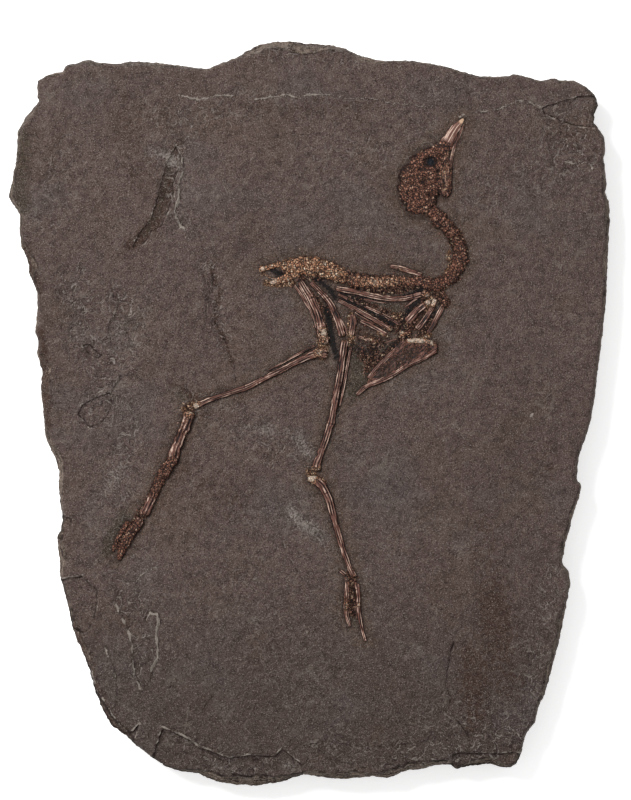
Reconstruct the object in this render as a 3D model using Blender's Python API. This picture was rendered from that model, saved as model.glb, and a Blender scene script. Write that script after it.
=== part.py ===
"""Fossil rail bird: the flattened skeleton of a long-legged bird on a broken slab of oil shale.

The slab lies on its back with the skeleton up. Metres, +Z up, +Y towards the slab's top edge.
The origin is the middle of the slab's footprint, on the surface that it rests on.

Places are read off a plan drawing: millimetres right of and below the drawing's top left corner.
A bone is a list of stations along its length, each (x, y, half width) on that plan.
"""

import math

import bmesh
import bpy
from mathutils import Vector, noise

MM = 0.001

# Driving dimensions.
SLAB_THICKNESS = 18.0 * MM
SEAT_GAP = 0.3 * MM
AXIS_RISE = 0.1 * MM

# How far the crushed bones stand up, as a share of their half width.
ROD_FLATNESS = 0.72
SKULL_FLATNESS = 0.28
PELVIS_FLATNESS = 0.5
VERTEBRA_FLATNESS = 0.6

# A rod whose half width stays under this, in mm, is six-sided; a stouter one has eight sides.
THIN_ROD = 1.25
# A bone drawn with this many stations or more needs no steps between them.
CLOSE_STATIONS = 8

# The slab's broken outline in plan mm, clockwise from its top left corner.
TOP_EDGE = [
    (18.5, 40), (21, 38.5), (27, 36), (31, 35.8), (32.8, 32.5), (39, 31), (44, 29.3), (49, 31),
    (60, 31.7), (64.5, 30.4), (74.5, 30.8), (89, 32.3), (103, 34.4), (108, 32.4), (115.5, 29.6),
    (119.5, 27.8), (122.5, 25.8), (129, 22.4), (137.4, 20.6), (145.5, 20.4), (151.5, 21.4),
    (166.5, 22.3), (173, 24), (178.8, 27.2), (189.5, 30.1), (206, 30.1), (217, 31.8), (226, 34),
    (239.5, 37.9), (253.5, 38), (257.5, 36.6), (262.5, 37.9), (270.5, 40.2), (274, 39.7),
    (277, 38.6), (280.5, 40), (287.3, 40),
]
RIGHT_EDGE = [
    (291.3, 42), (295.3, 45), (298, 47.8), (299.2, 53), (297.3, 56.4), (297.5, 61.5), (302, 67.6),
    (303.2, 74.8), (301.9, 78.2), (303.5, 90.3), (302.8, 96), (304.9, 101.2), (305, 110.4),
    (304.5, 120), (303.2, 150), (301, 170.4), (297.5, 199), (295.4, 211.2), (289.3, 229.6),
    (288.6, 240.8), (291, 241.8), (290, 248), (286.8, 257.2), (283.6, 269.4), (281, 281.6),
    (284.2, 285.2), (285.5, 291.9), (283.6, 301), (280, 319.8), (276, 334.7), (272.7, 347),
    (269.4, 353.7), (267.8, 361.2), (262.8, 367.8), (261, 375.3), (258.6, 382),
]
BOTTOM_EDGE = [
    (255.3, 384.2), (249.5, 383.6), (245.4, 382), (234.6, 383.2), (228, 384.7), (225.8, 382.7),
    (219, 382.7), (209, 385.1), (204, 385.3), (194, 389.3), (186.5, 388.4), (172.4, 389.8),
    (162.5, 389.3), (152, 387.4), (139.5, 391.5), (127, 393.1), (117, 392.6), (108, 391),
    (98.8, 386.8), (91.4, 386.1), (83, 383.6), (76.5, 379.5), (69, 373.7), (63.2, 368.3),
]
LEFT_EDGE = [
    (55.7, 362.9), (51.6, 356.3), (47.4, 345.5), (44.5, 334.7), (42, 328), (38.3, 319.8),
    (35.8, 313.1), (34.6, 305.7), (31.7, 294.9), (30, 289.9), (29.7, 280), (28.2, 268.5),
    (30.2, 265), (31.3, 259.7), (29.3, 245.4), (29.5, 235.5), (27.7, 229.3), (22.3, 218.5),
    (21.9, 211.5), (20.1, 193.6), (21, 185.5), (18.2, 176.6), (19.2, 171.2), (17.4, 165.9),
    (18.6, 153.4), (18.3, 145.4), (14.8, 137.5), (13.8, 130.3), (10.7, 123.2), (9.4, 115),
    (9.7, 106.9), (3.9, 98.2), (6.1, 90.5), (8.2, 76.2), (8.7, 65), (12.8, 57.9), (19.2, 50.7),
    (18.4, 47.7),
]
OUTLINE = TOP_EDGE + RIGHT_EDGE + BOTTOM_EDGE + LEFT_EDGE

PLAN_MIDDLE = (
    (min(x for x, y in OUTLINE) + max(x for x, y in OUTLINE)) / 2,
    (min(y for x, y in OUTLINE) + max(y for x, y in OUTLINE)) / 2,
)

# The broken edge from the top down: (share of the thickness, usual set-back, share of a wide break), mm.
# The lamina that stands proudest has no set-back, so the outline is the slab's true reach.
LAMINAE = [
    (1.0, 0.6, 1.0),
    (0.82, 0.5, 0.95),
    (0.79, 0.0, 0.35),
    (0.47, 0.0, 0.0),
    (0.43, 1.1, 0.1),
    (0.17, 1.4, 0.2),
    (0.0, 3.2, 0.3),
]
LAMINA_WANDER = 0.5
# How many outline points on either side set the direction into the slab.
EDGE_SPAN = 3

# Where the break runs far back into the upper face: (x, y, reach along the edge, set-back), mm.
WIDE_BREAKS = [
    (150, 21, 24, 4.2),
    (13.5, 57.5, 8, 2.6),
    (14.5, 133, 12, 3.0),
    (72, 31, 14, 1.8),
    (40, 325, 26, 1.6),
    (120, 392, 32, 4.0),
    (252, 383, 10, 2.0),
]

# Shallow flakes lost from the upper face: name, depth in mm, and their outline.
FLAKES = [
    ("flake_left", 0.7, [
        (37.5, 206), (46, 200), (55.5, 195.5), (57, 200), (56, 206.5), (52, 213), (45, 216), (39, 212),
    ]),
    ("flake_left_rim", 1.1, [
        (26, 286), (41, 284), (47.5, 294), (46.5, 307.5), (44, 315), (40, 316.5), (35.5, 313), (24, 308),
    ]),
    ("flake_lower_rim", 1.3, [
        (36, 322), (48, 326), (54, 344), (60, 357.5), (69.5, 361), (66, 367), (60, 372), (40, 352),
    ]),
    ("flake_corner", 0.9, [
        (270.8, 53.5), (279, 50.3), (290, 48), (302, 47), (302, 61.5), (287, 61.2), (277, 58.6), (271.6, 56),
    ]),
    ("flake_foot", 1.0, [
        (82, 364), (92, 370), (102, 376), (114, 379.5), (132, 384), (150, 384.5), (150, 398), (76, 394),
    ]),
]

# Open cracks in the upper face: name, depth and half width in mm, and their run.
CRACKS = [
    ("crack_top", 0.7, 0.35, [
        (89, 47.5), (100, 49), (115, 48), (128, 50), (140, 48.5), (150, 47.5), (170, 48.5),
        (185, 49), (200, 52.5), (215, 53.5),
    ]),
    ("crack_corner", 0.7, 0.4, [
        (235, 56), (242, 55), (250, 54), (259, 51.6), (268.5, 51.2),
    ]),
    ("crack_low", 0.8, 0.4, [
        (227.5, 316), (224, 327.5), (222.5, 345), (225, 360), (235, 372.5),
    ]),
    ("crack_left", 0.5, 0.3, [
        (105, 120), (109, 149), (111, 175), (112.5, 190),
    ]),
]

# The bones. Each route runs from the end nearer the body, or nearer the head.
SKULL = [
    (209.6, 103.3, 6.4), (209.5, 101.4, 8.2), (209.0, 97.0, 10.2), (210.1, 91.8, 10.9), (212.3, 86.3, 10.2),
    (215.3, 81.3, 8.5), (218.7, 77.7, 6.1), (222, 74.4, 3.9), (224, 70.7, 3.1), (226.1, 66.8, 2.7),
    (228.2, 63.6, 2.0), (230.4, 61.1, 1.1), (231.6, 59.5, 0.5),
]
ORBIT = (215.0, 81.0)
ORBIT_SIZE = (3.5, 2.5, 1.5)
ORBIT_TURN = 12.0
LOWER_JAW = [
    (222.5, 97.4, 2.0), (223.4, 95.8, 2.3), (224.2, 92.0, 1.9), (224.8, 87.0, 1.4), (225.3, 82.0, 1.0),
    (226.1, 77.5, 0.8), (227.5, 72.8, 0.7), (229.3, 68.8, 0.7), (230.6, 65.6, 0.6), (232.0, 62.3, 0.4),
]

NECK_ROUTE = [
    (217.2, 106.4, 3.2), (219.4, 109.4, 3.6), (223, 112.8, 3.2), (226.4, 116.2, 3.0), (228.4, 120, 2.6),
    (230, 124, 3.4), (230.4, 128.6, 3.7), (228.4, 133.8, 3.5), (225.5, 138.4, 3.4), (221.6, 141.4, 3.0),
    (217.6, 142.4, 2.8), (213.2, 141.8, 2.7),
]
NECK_COUNT = 12

BACK_ROUTE = [
    (177.4, 140.4, 3.0), (181.6, 140.9, 3.0), (186, 141, 3.1), (191, 141, 3.1), (196, 140.8, 3.0),
    (201, 140.5, 2.8), (208.6, 140.6, 2.5),
]
BACK_COUNT = 7

TAIL_ROUTE = [(131.2, 134.4, 1.5), (133.5, 133.9, 1.3), (136.2, 133.1, 1.4), (139, 132.3, 1.6)]
TAIL_COUNT = 4

PELVIS = [
    (142.2, 133.4, 2.8), (144.6, 133.7, 4.4), (147.2, 133.6, 4.5), (150, 133.5, 5.0), (153, 133.3, 4.6),
    (156, 133.5, 4.9), (159, 133.8, 4.6), (162, 134.6, 4.8), (165, 135.4, 4.4), (167.6, 136.6, 4.5),
    (170, 137.6, 4.0), (172, 138.6, 3.7),
]
ISCHIUM = [(148.5, 135.6, 2.4), (143.5, 138.8, 2.2), (139.5, 140.4, 1.8), (135.8, 141.5, 1.2)]

RODS = {
    "scapula": [
        (195.5, 133.2, 0.9), (200, 134.1, 1.3), (205, 135.6, 1.3), (210.5, 137.2, 1.0),
    ],
    "humerus": [
        (214.2, 146.9, 1.6), (210.5, 147.4, 1.6), (205, 148.7, 1.5), (198.5, 149.6, 1.5), (192, 149, 1.5),
        (185, 147.5, 1.5), (178.5, 146.1, 1.5), (172, 144.9, 1.5), (168.6, 144.3, 1.2),
    ],
    "radius": [
        (169.4, 147.4, 0.8), (177, 150.6, 0.8), (185, 154.3, 0.8), (192.5, 157.9, 0.8), (199.3, 161.9, 0.9),
    ],
    "ulna": [
        (169.6, 150.4, 0.9), (175.5, 153.2, 1.1), (182, 156.9, 1.1), (188.5, 160.6, 1.2), (195.5, 164.6, 1.3),
    ],
    "wing_hand": [(200, 166.2, 1.2), (202.4, 167, 1.4), (205.2, 166.2, 1.1)],
    "coracoid_near": [
        (214.4, 150.8, 1.3), (211.3, 153.4, 1.7), (207.5, 156.6, 2.0), (204.2, 160.2, 2.2),
    ],
    "coracoid_far": [
        (217.4, 149.8, 1.1), (216.2, 153.6, 1.4), (213.6, 158, 1.5), (211, 161.6, 1.5), (208.8, 164, 1.5),
    ],
    "furcula": [
        (221.4, 146.6, 1.0), (222.6, 149.8, 1.1), (220.8, 154.2, 1.2), (218.4, 158.8, 1.2),
        (216.6, 162.6, 1.2), (214.4, 166, 1.0),
    ],
    "rib_1": [(180.6, 160.4, 0.9), (187, 163.6, 1.1), (193, 167, 1.0)],
    "rib_2": [(176.4, 157.8, 1.4), (176.6, 161, 1.8), (176.3, 164, 1.8), (175.8, 167, 1.4)],
    "rib_3": [(179.6, 168.4, 0.8), (184.5, 169.8, 0.8), (190, 170, 0.7)],
    "pubis": [(147.3, 142.8, 0.7), (150.2, 146.8, 0.7), (153, 151.6, 0.7), (155.4, 155.2, 0.6)],
    "femur_rear": [
        (150.7, 141.4, 1.8), (152.5, 144.4, 1.8), (155.4, 149, 1.8), (158, 154.6, 1.8),
        (159.9, 160, 2.1), (160.8, 164.6, 2.6), (161.6, 168.6, 2.9), (162, 170.8, 2.6),
    ],
    "tibiotarsus_rear": [
        (162.4, 177, 2.4), (158.8, 176.7, 2.6), (155, 177.9, 1.9), (148.5, 181, 1.5), (140, 185.3, 1.5),
        (131, 189.8, 1.4), (122.5, 194, 1.5), (115, 196.3, 1.3), (106, 199.5, 1.2), (100.5, 201.8, 1.4),
        (97.6, 203.1, 1.6),
    ],
    "fibula_rear": [
        (157.2, 172.9, 0.6), (150.3, 176.5, 0.6), (142.5, 180.8, 0.5), (134.5, 185.1, 0.4),
    ],
    "tarsometatarsus_rear": [
        (94.6, 207.4, 3.1), (93.3, 211.6, 2.9), (90.8, 217.2, 2.6), (88.3, 223.4, 2.9), (86.2, 229.8, 3.0),
        (82.9, 235, 2.9), (80, 240, 2.6), (77.5, 245.6, 2.3), (75, 251.3, 2.3), (72.4, 256.4, 2.6),
    ],
    "toe_rear_1": [
        (69.8, 260.6, 2.7), (66.4, 265.2, 2.5), (63.5, 270, 2.5), (61, 275.4, 2.0), (59.4, 279.6, 1.2),
    ],
    "toe_rear_2": [
        (63.8, 261, 1.1), (61, 265.6, 1.2), (58.3, 270.6, 1.1), (56.4, 275.4, 0.7),
    ],
    "femur_front": [
        (155.9, 141.6, 1.2), (158.8, 144.6, 1.3), (162.5, 148.4, 1.5), (165.6, 152.8, 1.6), (168, 158, 1.7),
        (169.9, 163.2, 1.8), (171.2, 167, 2.1),
    ],
    "tibiotarsus_front": [
        (172.4, 171.2, 2.1), (171.6, 176, 1.9), (170.6, 183, 1.8), (169.2, 191, 1.8), (167.4, 201, 1.8),
        (165.7, 210, 1.9), (163, 219, 1.8), (160.2, 227, 1.7), (158.7, 231.5, 2.1), (158, 234.2, 2.5),
    ],
    "fibula_front": [
        (175.4, 174, 0.7), (174.6, 178, 0.8), (173.6, 184, 0.8), (172.4, 191, 0.8), (171, 198, 0.6),
        (170, 203, 0.4),
    ],
    "tarsometatarsus_front": [
        (154.6, 239.6, 1.6), (157.2, 239.8, 2.2), (160.1, 241.8, 2.4), (162.5, 245.5, 2.1),
        (164.8, 250.5, 1.9), (166.3, 256.5, 1.8), (169, 266.5, 1.6), (172.2, 276.5, 1.4),
        (175, 284.5, 1.4), (176.8, 288, 1.7),
    ],
    "toe_front_1": [
        (178.5, 292.6, 1.4), (179.2, 298, 1.1), (179.2, 303, 1.2), (180, 309, 1.0), (181.2, 315, 0.9),
        (182.6, 320.2, 0.8),
    ],
    "toe_front_2": [
        (173.6, 291.4, 1.4), (173.4, 297, 1.3), (173.2, 302, 1.4), (173.3, 307.5, 1.2), (175, 313, 0.8),
    ],
    "toe_front_3": [(170.4, 285.6, 0.9), (172.4, 287.2, 1.0)],
}

STERNUM_PLATE = [
    (202.2, 170.4), (206.5, 168.7), (212, 169.6), (216, 170.4), (218.6, 172.2), (218.6, 175.2),
    (210, 180), (203, 183), (197, 187.2), (189.5, 190.8), (183, 193.4), (184.6, 188.6), (190, 182),
    (195, 177),
]
STERNUM_RIMS = [
    [(217.6, 175.4, 1.3), (211, 179.4, 1.2), (203.6, 182.8, 1.3), (197, 187, 1.3), (189.5, 190.6, 1.3),
     (183.6, 193, 1.2), (180.6, 195.4, 1.2), (178.6, 197.2, 0.9)],
    [(202.4, 170.8, 1.1), (199, 173.8, 1.1), (194, 178.4, 1.1), (189, 183.4, 1.2), (184.6, 188.8, 1.3)],
    [(204, 170.6, 1.3), (208.4, 170.4, 1.4), (213, 170.6, 1.3), (217.8, 172.2, 1.2)],
]
STERNUM_PLATE_RISE = 0.9 * MM

# How high the orbit's cutter sits over the slab's face, and how far the cutters reach above it.
ORBIT_HEIGHT = 3.0 * MM
CUTTER_REACH = 4.0 * MM

# A vertebra's spool: (place along its length, share of the chain's half width), end to end.
SPOOL = [(-0.5, 0.45), (-0.28, 0.95), (0.0, 0.9), (0.24, 1.0), (0.46, 0.5)]

# A bone's rounded end: (reach past the last station, share of its half width).
ROUNDING = [(0.32, 0.82), (0.55, 0.4)]

# The grain of the lumps on granular bones.
LUMP_SIZE = 2.5 * MM
VERTEBRA_LUMP_SIZE = 1.6 * MM


def clear_scene():
    for obj in list(bpy.data.objects):
        bpy.data.objects.remove(obj)


def new_collection(name):
    collection = bpy.data.collections.new(name)
    bpy.context.scene.collection.children.link(collection)
    return collection


def finish_material(name, colour, roughness):
    material = bpy.data.materials.new(name)
    material.use_nodes = True
    shader = material.node_tree.nodes["Principled BSDF"]
    shader.inputs["Base Color"].default_value = (*colour, 1.0)
    shader.inputs["Roughness"].default_value = roughness
    shader.inputs["Metallic"].default_value = 0.0
    return material


def on_plan(x, y, z=0.0):
    return Vector(((x - PLAN_MIDDLE[0]) * MM, (PLAN_MIDDLE[1] - y) * MM, z))


def between(values, share):
    """Catmull-Rom value a share of the way along a list of equal tuples."""
    place = share * (len(values) - 1)
    i = min(int(place), len(values) - 2)
    t = place - i
    last = len(values) - 1
    before, start, end, after = (Vector(values[min(max(i + k, 0), last)]) for k in (-1, 0, 1, 2))
    return 0.5 * (
        2 * start
        + (end - before) * t
        + (2 * before - 5 * start + 4 * end - after) * t * t
        + (3 * start - before - 3 * end + after) * t * t * t
    )


def smooth_stations(stations, per_span):
    count = (len(stations) - 1) * per_span + 1
    return [between(stations, n / (count - 1)) for n in range(count)]


def rounded_ends(stations):
    """Rounds a bone's two ends off with shrinking stations."""

    def cap(end, inner):
        away = Vector((end.x - inner.x, end.y - inner.y)).normalized() * end.z
        return [
            Vector((end.x + away.x * reach, end.y + away.y * reach, end.z * width))
            for reach, width in ROUNDING
        ]

    return cap(stations[0], stations[1])[::-1] + stations + cap(stations[-1], stations[-2])


def tube_mesh(name, stations, sides_resolution):
    """A closed tube through the stations, welded at its caps, lying on z = 0."""
    curve = bpy.data.curves.new(name, "CURVE")
    curve.dimensions = "3D"
    curve.twist_mode = "Z_UP"
    curve.bevel_depth = MM
    curve.bevel_resolution = sides_resolution
    curve.use_fill_caps = True
    spline = curve.splines.new("POLY")
    spline.points.add(len(stations) - 1)
    for point, station in zip(spline.points, stations):
        point.co = (*on_plan(station.x, station.y), 1.0)
        point.radius = station.z
    guide = bpy.data.objects.new(name + "_guide", curve)
    bpy.context.scene.collection.objects.link(guide)
    bpy.context.view_layer.update()
    evaluated = guide.evaluated_get(bpy.context.evaluated_depsgraph_get())
    mesh = bpy.data.meshes.new_from_object(evaluated)
    bpy.data.objects.remove(guide)
    bpy.data.curves.remove(curve)
    return mesh


def seat_on_slab(mesh, flatness, lumps=0.0, lump_size=LUMP_SIZE):
    """Flattens a bone, cuts its underside flat and sets it on the slab's upper face."""
    seat = SLAB_THICKNESS + SEAT_GAP
    shape = bmesh.new()
    shape.from_mesh(mesh)
    bmesh.ops.remove_doubles(shape, verts=shape.verts, dist=0.01 * MM)
    for vert in shape.verts:
        vert.co.z = vert.co.z * flatness + seat + AXIS_RISE
    cut = bmesh.ops.bisect_plane(
        shape,
        geom=shape.verts[:] + shape.edges[:] + shape.faces[:],
        plane_co=(0, 0, seat),
        plane_no=(0, 0, 1),
        clear_inner=True,
    )
    rim = [item for item in cut["geom_cut"] if isinstance(item, bmesh.types.BMEdge)]
    bmesh.ops.contextual_create(shape, geom=rim)
    for vert in shape.verts:
        rise = vert.co.z - seat
        if lumps and rise > 0.2 * MM:
            vert.co.z += lumps * noise.noise(vert.co / lump_size) * min(1.0, rise / MM)
    bmesh.ops.recalc_face_normals(shape, faces=shape.faces)
    shape.to_mesh(mesh)
    shape.free()


def add_piece(name, mesh, material, collection):
    mesh.name = name
    mesh.materials.clear()
    mesh.materials.append(material)
    piece = bpy.data.objects.new(name, mesh)
    collection.objects.link(piece)
    mesh.shade_smooth()
    mesh.set_sharp_from_angle(angle=math.radians(40))
    return piece


def add_bone(name, stations, material, collection, flatness=ROD_FLATNESS, lumps=0.0, sides=2):
    per_span = 1 if len(stations) >= CLOSE_STATIONS else 2
    if max(width for x, y, width in stations) < THIN_ROD:
        sides = 1
    path = rounded_ends(smooth_stations(stations, per_span))
    mesh = tube_mesh(name, path, sides)
    seat_on_slab(mesh, flatness, lumps)
    return add_piece(name, mesh, material, collection)


def combine(target, other, operation, helpers):
    """Joins other to target, or cuts it away, and keeps it as a hidden helper."""
    other.hide_render = True
    other.display_type = "WIRE"
    for collection in list(other.users_collection):
        collection.objects.unlink(other)
    helpers.objects.link(other)
    modifier = target.modifiers.new(operation.lower() + "_" + other.name, "BOOLEAN")
    modifier.operation = operation
    modifier.object = other


def plate_mesh(name, outline, foot, height):
    """An upright plate of the plan outline, standing on z = foot."""
    shape = bmesh.new()
    base = shape.faces.new([shape.verts.new(on_plan(x, y, foot)) for x, y in outline])
    grown = bmesh.ops.extrude_face_region(shape, geom=[base])
    raised = [item for item in grown["geom"] if isinstance(item, bmesh.types.BMVert)]
    bmesh.ops.translate(shape, verts=raised, vec=(0, 0, height))
    bmesh.ops.recalc_face_normals(shape, faces=shape.faces)
    mesh = bpy.data.meshes.new(name)
    shape.to_mesh(mesh)
    shape.free()
    return mesh


def cut_slab(slab, name, outline, depth, helpers):
    """Cuts the outline into the slab's upper face to the depth in mm."""
    foot = SLAB_THICKNESS - depth * MM
    mesh = plate_mesh(name, outline, foot, depth * MM + CUTTER_REACH)
    combine(slab, bpy.data.objects.new(name, mesh), "DIFFERENCE", helpers)


def crack_outline(run, half_width):
    """A long lens round the crack's run: widest in the middle, closed at both ends."""
    left, right = [], []
    for i, (x, y) in enumerate(run[1:-1], start=1):
        along = Vector((run[i + 1][0] - run[i - 1][0], run[i + 1][1] - run[i - 1][1])).normalized()
        swell = 0.6 + 0.4 * math.sin(math.pi * i / len(run))
        across = Vector((-along.y, along.x)) * half_width * swell
        left.append((x + across.x, y + across.y))
        right.append((x - across.x, y - across.y))
    return [run[0], *left, run[-1], *right[::-1]]


def edge_directions(points, span):
    """For each outline point, the direction into the slab, smoothed over its neighbours."""
    count = len(points)
    inward = []
    for i in range(count):
        along = Vector((0.0, 0.0))
        for k in range(1, span + 1):
            ahead, behind = points[(i + k) % count], points[(i - k) % count]
            along += Vector((ahead[0] - behind[0], ahead[1] - behind[1])).normalized() / k
        along.normalize()
        inward.append(Vector((-along.y, along.x)))
    return inward


def break_width(x, y):
    """How far the upper face is broken back at a place on the outline, in mm."""
    width = 0.0
    for cx, cy, reach, setback in WIDE_BREAKS:
        away = math.hypot(x - cx, y - cy) / reach
        width += setback * max(0.0, 1.0 - away * away) ** 2
    return width


def lamina_ring(points, inward, level, usual, share):
    """One lamina's edge on the plan: the outline, set back by its own wander and by the wide breaks."""
    ring = []
    for (x, y), into in zip(points, inward):
        wander = LAMINA_WANDER * abs(noise.noise(Vector((x * 0.11, y * 0.11, level * 9.0))))
        setback = usual + (wander if usual else 0.0) + share * break_width(x, y)
        ring.append((x + into.x * setback, y + into.y * setback))
    return ring


def loft_mesh(name, rings):
    """A closed solid through rings of the same number of points, from the top one down."""
    shape = bmesh.new()
    loops = [[shape.verts.new(place) for place in ring] for ring in rings]
    for upper, lower in zip(loops, loops[1:]):
        for i in range(len(upper)):
            shape.faces.new((upper[i - 1], upper[i], lower[i], lower[i - 1]))
    shape.faces.new(loops[0])
    shape.faces.new(loops[-1])
    bmesh.ops.recalc_face_normals(shape, faces=shape.faces)
    mesh = bpy.data.meshes.new(name)
    shape.to_mesh(mesh)
    shape.free()
    return mesh


def add_slab(material, collection, helpers):
    """The shale: its laminae lofted from the top face down, then flakes and cracks cut into that face."""
    inward = edge_directions(OUTLINE, EDGE_SPAN)
    rings = []
    for level, usual, share in LAMINAE:
        ring = lamina_ring(OUTLINE, inward, level, usual, share)
        rings.append([on_plan(x, y, level * SLAB_THICKNESS) for x, y in ring])
    slab = add_piece("slab", loft_mesh("slab", rings), material, collection)
    for name, depth, outline in FLAKES:
        cut_slab(slab, name, outline, depth, helpers)
    for name, depth, half_width, run in CRACKS:
        cut_slab(slab, name, crack_outline(run, half_width), depth, helpers)
    return slab


def add_vertebrae(prefix, route, count, fill, material, collection, digits=1):
    """A chain of separate spool-shaped vertebrae, evenly spaced along the route."""
    lengths = [0.0]
    dense = smooth_stations(route, 12)
    for a, b in zip(dense, dense[1:]):
        lengths.append(lengths[-1] + math.hypot(b.x - a.x, b.y - a.y))
    pitch = lengths[-1] / (count - 1)

    def at(distance):
        distance = min(max(distance, 0.0), lengths[-1])
        i = max(k for k, length in enumerate(lengths[:-1]) if length <= distance)
        share = (distance - lengths[i]) / max(lengths[i + 1] - lengths[i], 1e-9)
        return dense[i].lerp(dense[i + 1], share)

    for n in range(count):
        middle = at(n * pitch)
        ahead, behind = at(n * pitch + 0.4 * pitch), at(n * pitch - 0.4 * pitch)
        along = Vector((ahead.x - behind.x, ahead.y - behind.y)).normalized() * pitch
        along *= fill
        spool = [
            Vector((middle.x + along.x * step, middle.y + along.y * step, middle.z * width))
            for step, width in SPOOL
        ]
        mesh = tube_mesh(prefix, spool, 2)
        seat_on_slab(mesh, VERTEBRA_FLATNESS, 0.5 * MM, VERTEBRA_LUMP_SIZE)
        add_piece(f"{prefix}_{n + 1:0{digits}d}", mesh, material, collection)


def add_skull(material, collection, helpers):
    skull = add_bone("skull", SKULL, material, collection, SKULL_FLATNESS, 0.5 * MM, 4)
    bpy.ops.mesh.primitive_uv_sphere_add(segments=16, ring_count=8, radius=1.0)
    eye = bpy.context.object
    eye.name = "orbit"
    eye.scale = [size * MM for size in ORBIT_SIZE]
    eye.rotation_euler.z = math.radians(ORBIT_TURN)
    eye.location = on_plan(*ORBIT, SLAB_THICKNESS + ORBIT_HEIGHT)
    combine(skull, eye, "DIFFERENCE", helpers)
    return skull


def add_pelvis(material, collection, helpers):
    pelvis = add_bone("pelvis", PELVIS, material, collection, PELVIS_FLATNESS, 0.7 * MM, 4)
    ischium = add_bone("ischium", ISCHIUM, material, collection, 0.6, 0.3 * MM)
    combine(pelvis, ischium, "UNION", helpers)
    return pelvis


def add_sternum(material, collection, helpers):
    """The keeled breastbone: a thin plate with a stout rim on each of its three sides."""
    mesh = plate_mesh("sternum", STERNUM_PLATE, SLAB_THICKNESS + SEAT_GAP, STERNUM_PLATE_RISE)
    sternum = add_piece("sternum", mesh, material, collection)
    for n, stations in enumerate(STERNUM_RIMS, start=1):
        rim = add_bone(f"sternum_rim_{n}", stations, material, collection, sides=1)
        combine(sternum, rim, "UNION", helpers)
    return sternum


def main():
    clear_scene()
    fossil = new_collection("fossil_rail_bird")
    helpers = new_collection("cutters")
    shale = finish_material("shale", (0.114, 0.082, 0.072), 0.85)
    bone = finish_material("bone", (0.17, 0.085, 0.055), 0.6)
    pale_bone = finish_material("pale_bone", (0.33, 0.2, 0.13), 0.6)

    add_slab(shale, fossil, helpers)
    add_skull(bone, fossil, helpers)
    add_bone("lower_jaw", LOWER_JAW, bone, fossil, 0.6, 0.2 * MM)
    add_vertebrae("neck_vertebra", NECK_ROUTE, NECK_COUNT, 0.8, bone, fossil, digits=2)
    add_vertebrae("back_vertebra", BACK_ROUTE, BACK_COUNT, 0.86, bone, fossil)
    add_vertebrae("tail_vertebra", TAIL_ROUTE, TAIL_COUNT, 0.8, pale_bone, fossil)
    add_pelvis(pale_bone, fossil, helpers)
    add_sternum(bone, fossil, helpers)
    for name, stations in RODS.items():
        add_bone(name, stations, bone, fossil)


main()
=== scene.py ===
import math
import random
import bmesh
import bpy
import numpy as np
from mathutils import Euler, Matrix, Vector, kdtree, noise


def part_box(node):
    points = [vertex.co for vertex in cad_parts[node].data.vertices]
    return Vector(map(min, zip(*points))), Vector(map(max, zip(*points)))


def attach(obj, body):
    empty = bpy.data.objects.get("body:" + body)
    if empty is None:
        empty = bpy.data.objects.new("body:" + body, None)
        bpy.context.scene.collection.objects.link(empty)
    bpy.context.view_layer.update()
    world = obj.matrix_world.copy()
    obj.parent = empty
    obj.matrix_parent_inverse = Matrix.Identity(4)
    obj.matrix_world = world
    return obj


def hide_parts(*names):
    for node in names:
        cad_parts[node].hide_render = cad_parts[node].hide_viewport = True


# Fossil rail bird on its slab of oil shale: fine surfaces, finishes, light and camera.
# Places are read off a plan drawing, in mm right of and below its top left corner.

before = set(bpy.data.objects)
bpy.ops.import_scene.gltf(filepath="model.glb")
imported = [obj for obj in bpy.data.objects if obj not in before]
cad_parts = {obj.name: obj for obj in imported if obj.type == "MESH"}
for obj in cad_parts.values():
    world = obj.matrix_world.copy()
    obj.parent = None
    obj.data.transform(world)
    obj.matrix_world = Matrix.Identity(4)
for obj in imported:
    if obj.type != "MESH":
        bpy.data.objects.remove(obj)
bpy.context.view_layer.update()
slabLow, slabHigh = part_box("slab")
mm = 0.001
planLeft, planTop = 3.9, 20.4  # where the slab's left and top reach lie on the drawing
toneShare = 0.9  # how much of a tone is painted, because the strong light adds the rest
random.seed(12)


def place(x, y, z):
    # z is mm above the slab's upper face
    return Vector((slabLow.x + (x - planLeft) * mm, slabHigh.y - (y - planTop) * mm, slabHigh.z + z * mm))


def smoothstep(low, high, value):
    t = np.clip((value - low) / (high - low), 0.0, 1.0)
    return t * t * (3.0 - 2.0 * t)


def bell(value, width):
    return np.exp(-(value / width) ** 2)


def noiseAt(points, size, seed):
    # smooth noise of that size in mm, about -1 to 1
    return np.array([noise.noise(Vector((x / size, y / size, seed))) for x, y in points])


def patchesAt(points, level, size, seed):
    # 0 to 1 in patches of that size in mm, about the level given
    return np.clip(level + noiseAt(points, size, seed), 0, 1)


def grainsAt(points, size, seed):
    # packed round grains of that size in mm: 1 at a grain's middle, 0 at its edge
    far = np.array([noise.voronoi(Vector((x / size, y / size, seed)))[0][0] for x, y in points])
    return np.clip(1.0 - far / 0.62, 0.0, 1.0)


def segmentsOf(runs):
    # each piece between two points, as their four coordinates
    return [(*a, *b) for run in runs for a, b in zip(run, run[1:])]


def nearest(points, segments):
    # distance to the nearest segment, and which side of it the point is on
    best = np.full(len(points), 1e9)
    side = np.zeros(len(points))
    for ax, ay, bx, by in segments:
        along = np.array((bx - ax, by - ay))
        rel = points - (ax, ay)
        t = np.clip(rel @ along / max(along @ along, 1e-9), 0.0, 1.0)
        near = rel - t[:, None] * along
        d = np.hypot(near[:, 0], near[:, 1])
        closer = d < best
        best[closer] = d[closer]
        side[closer] = np.sign(along[0] * rel[closer, 1] - along[1] * rel[closer, 0])
    return best, side


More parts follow.
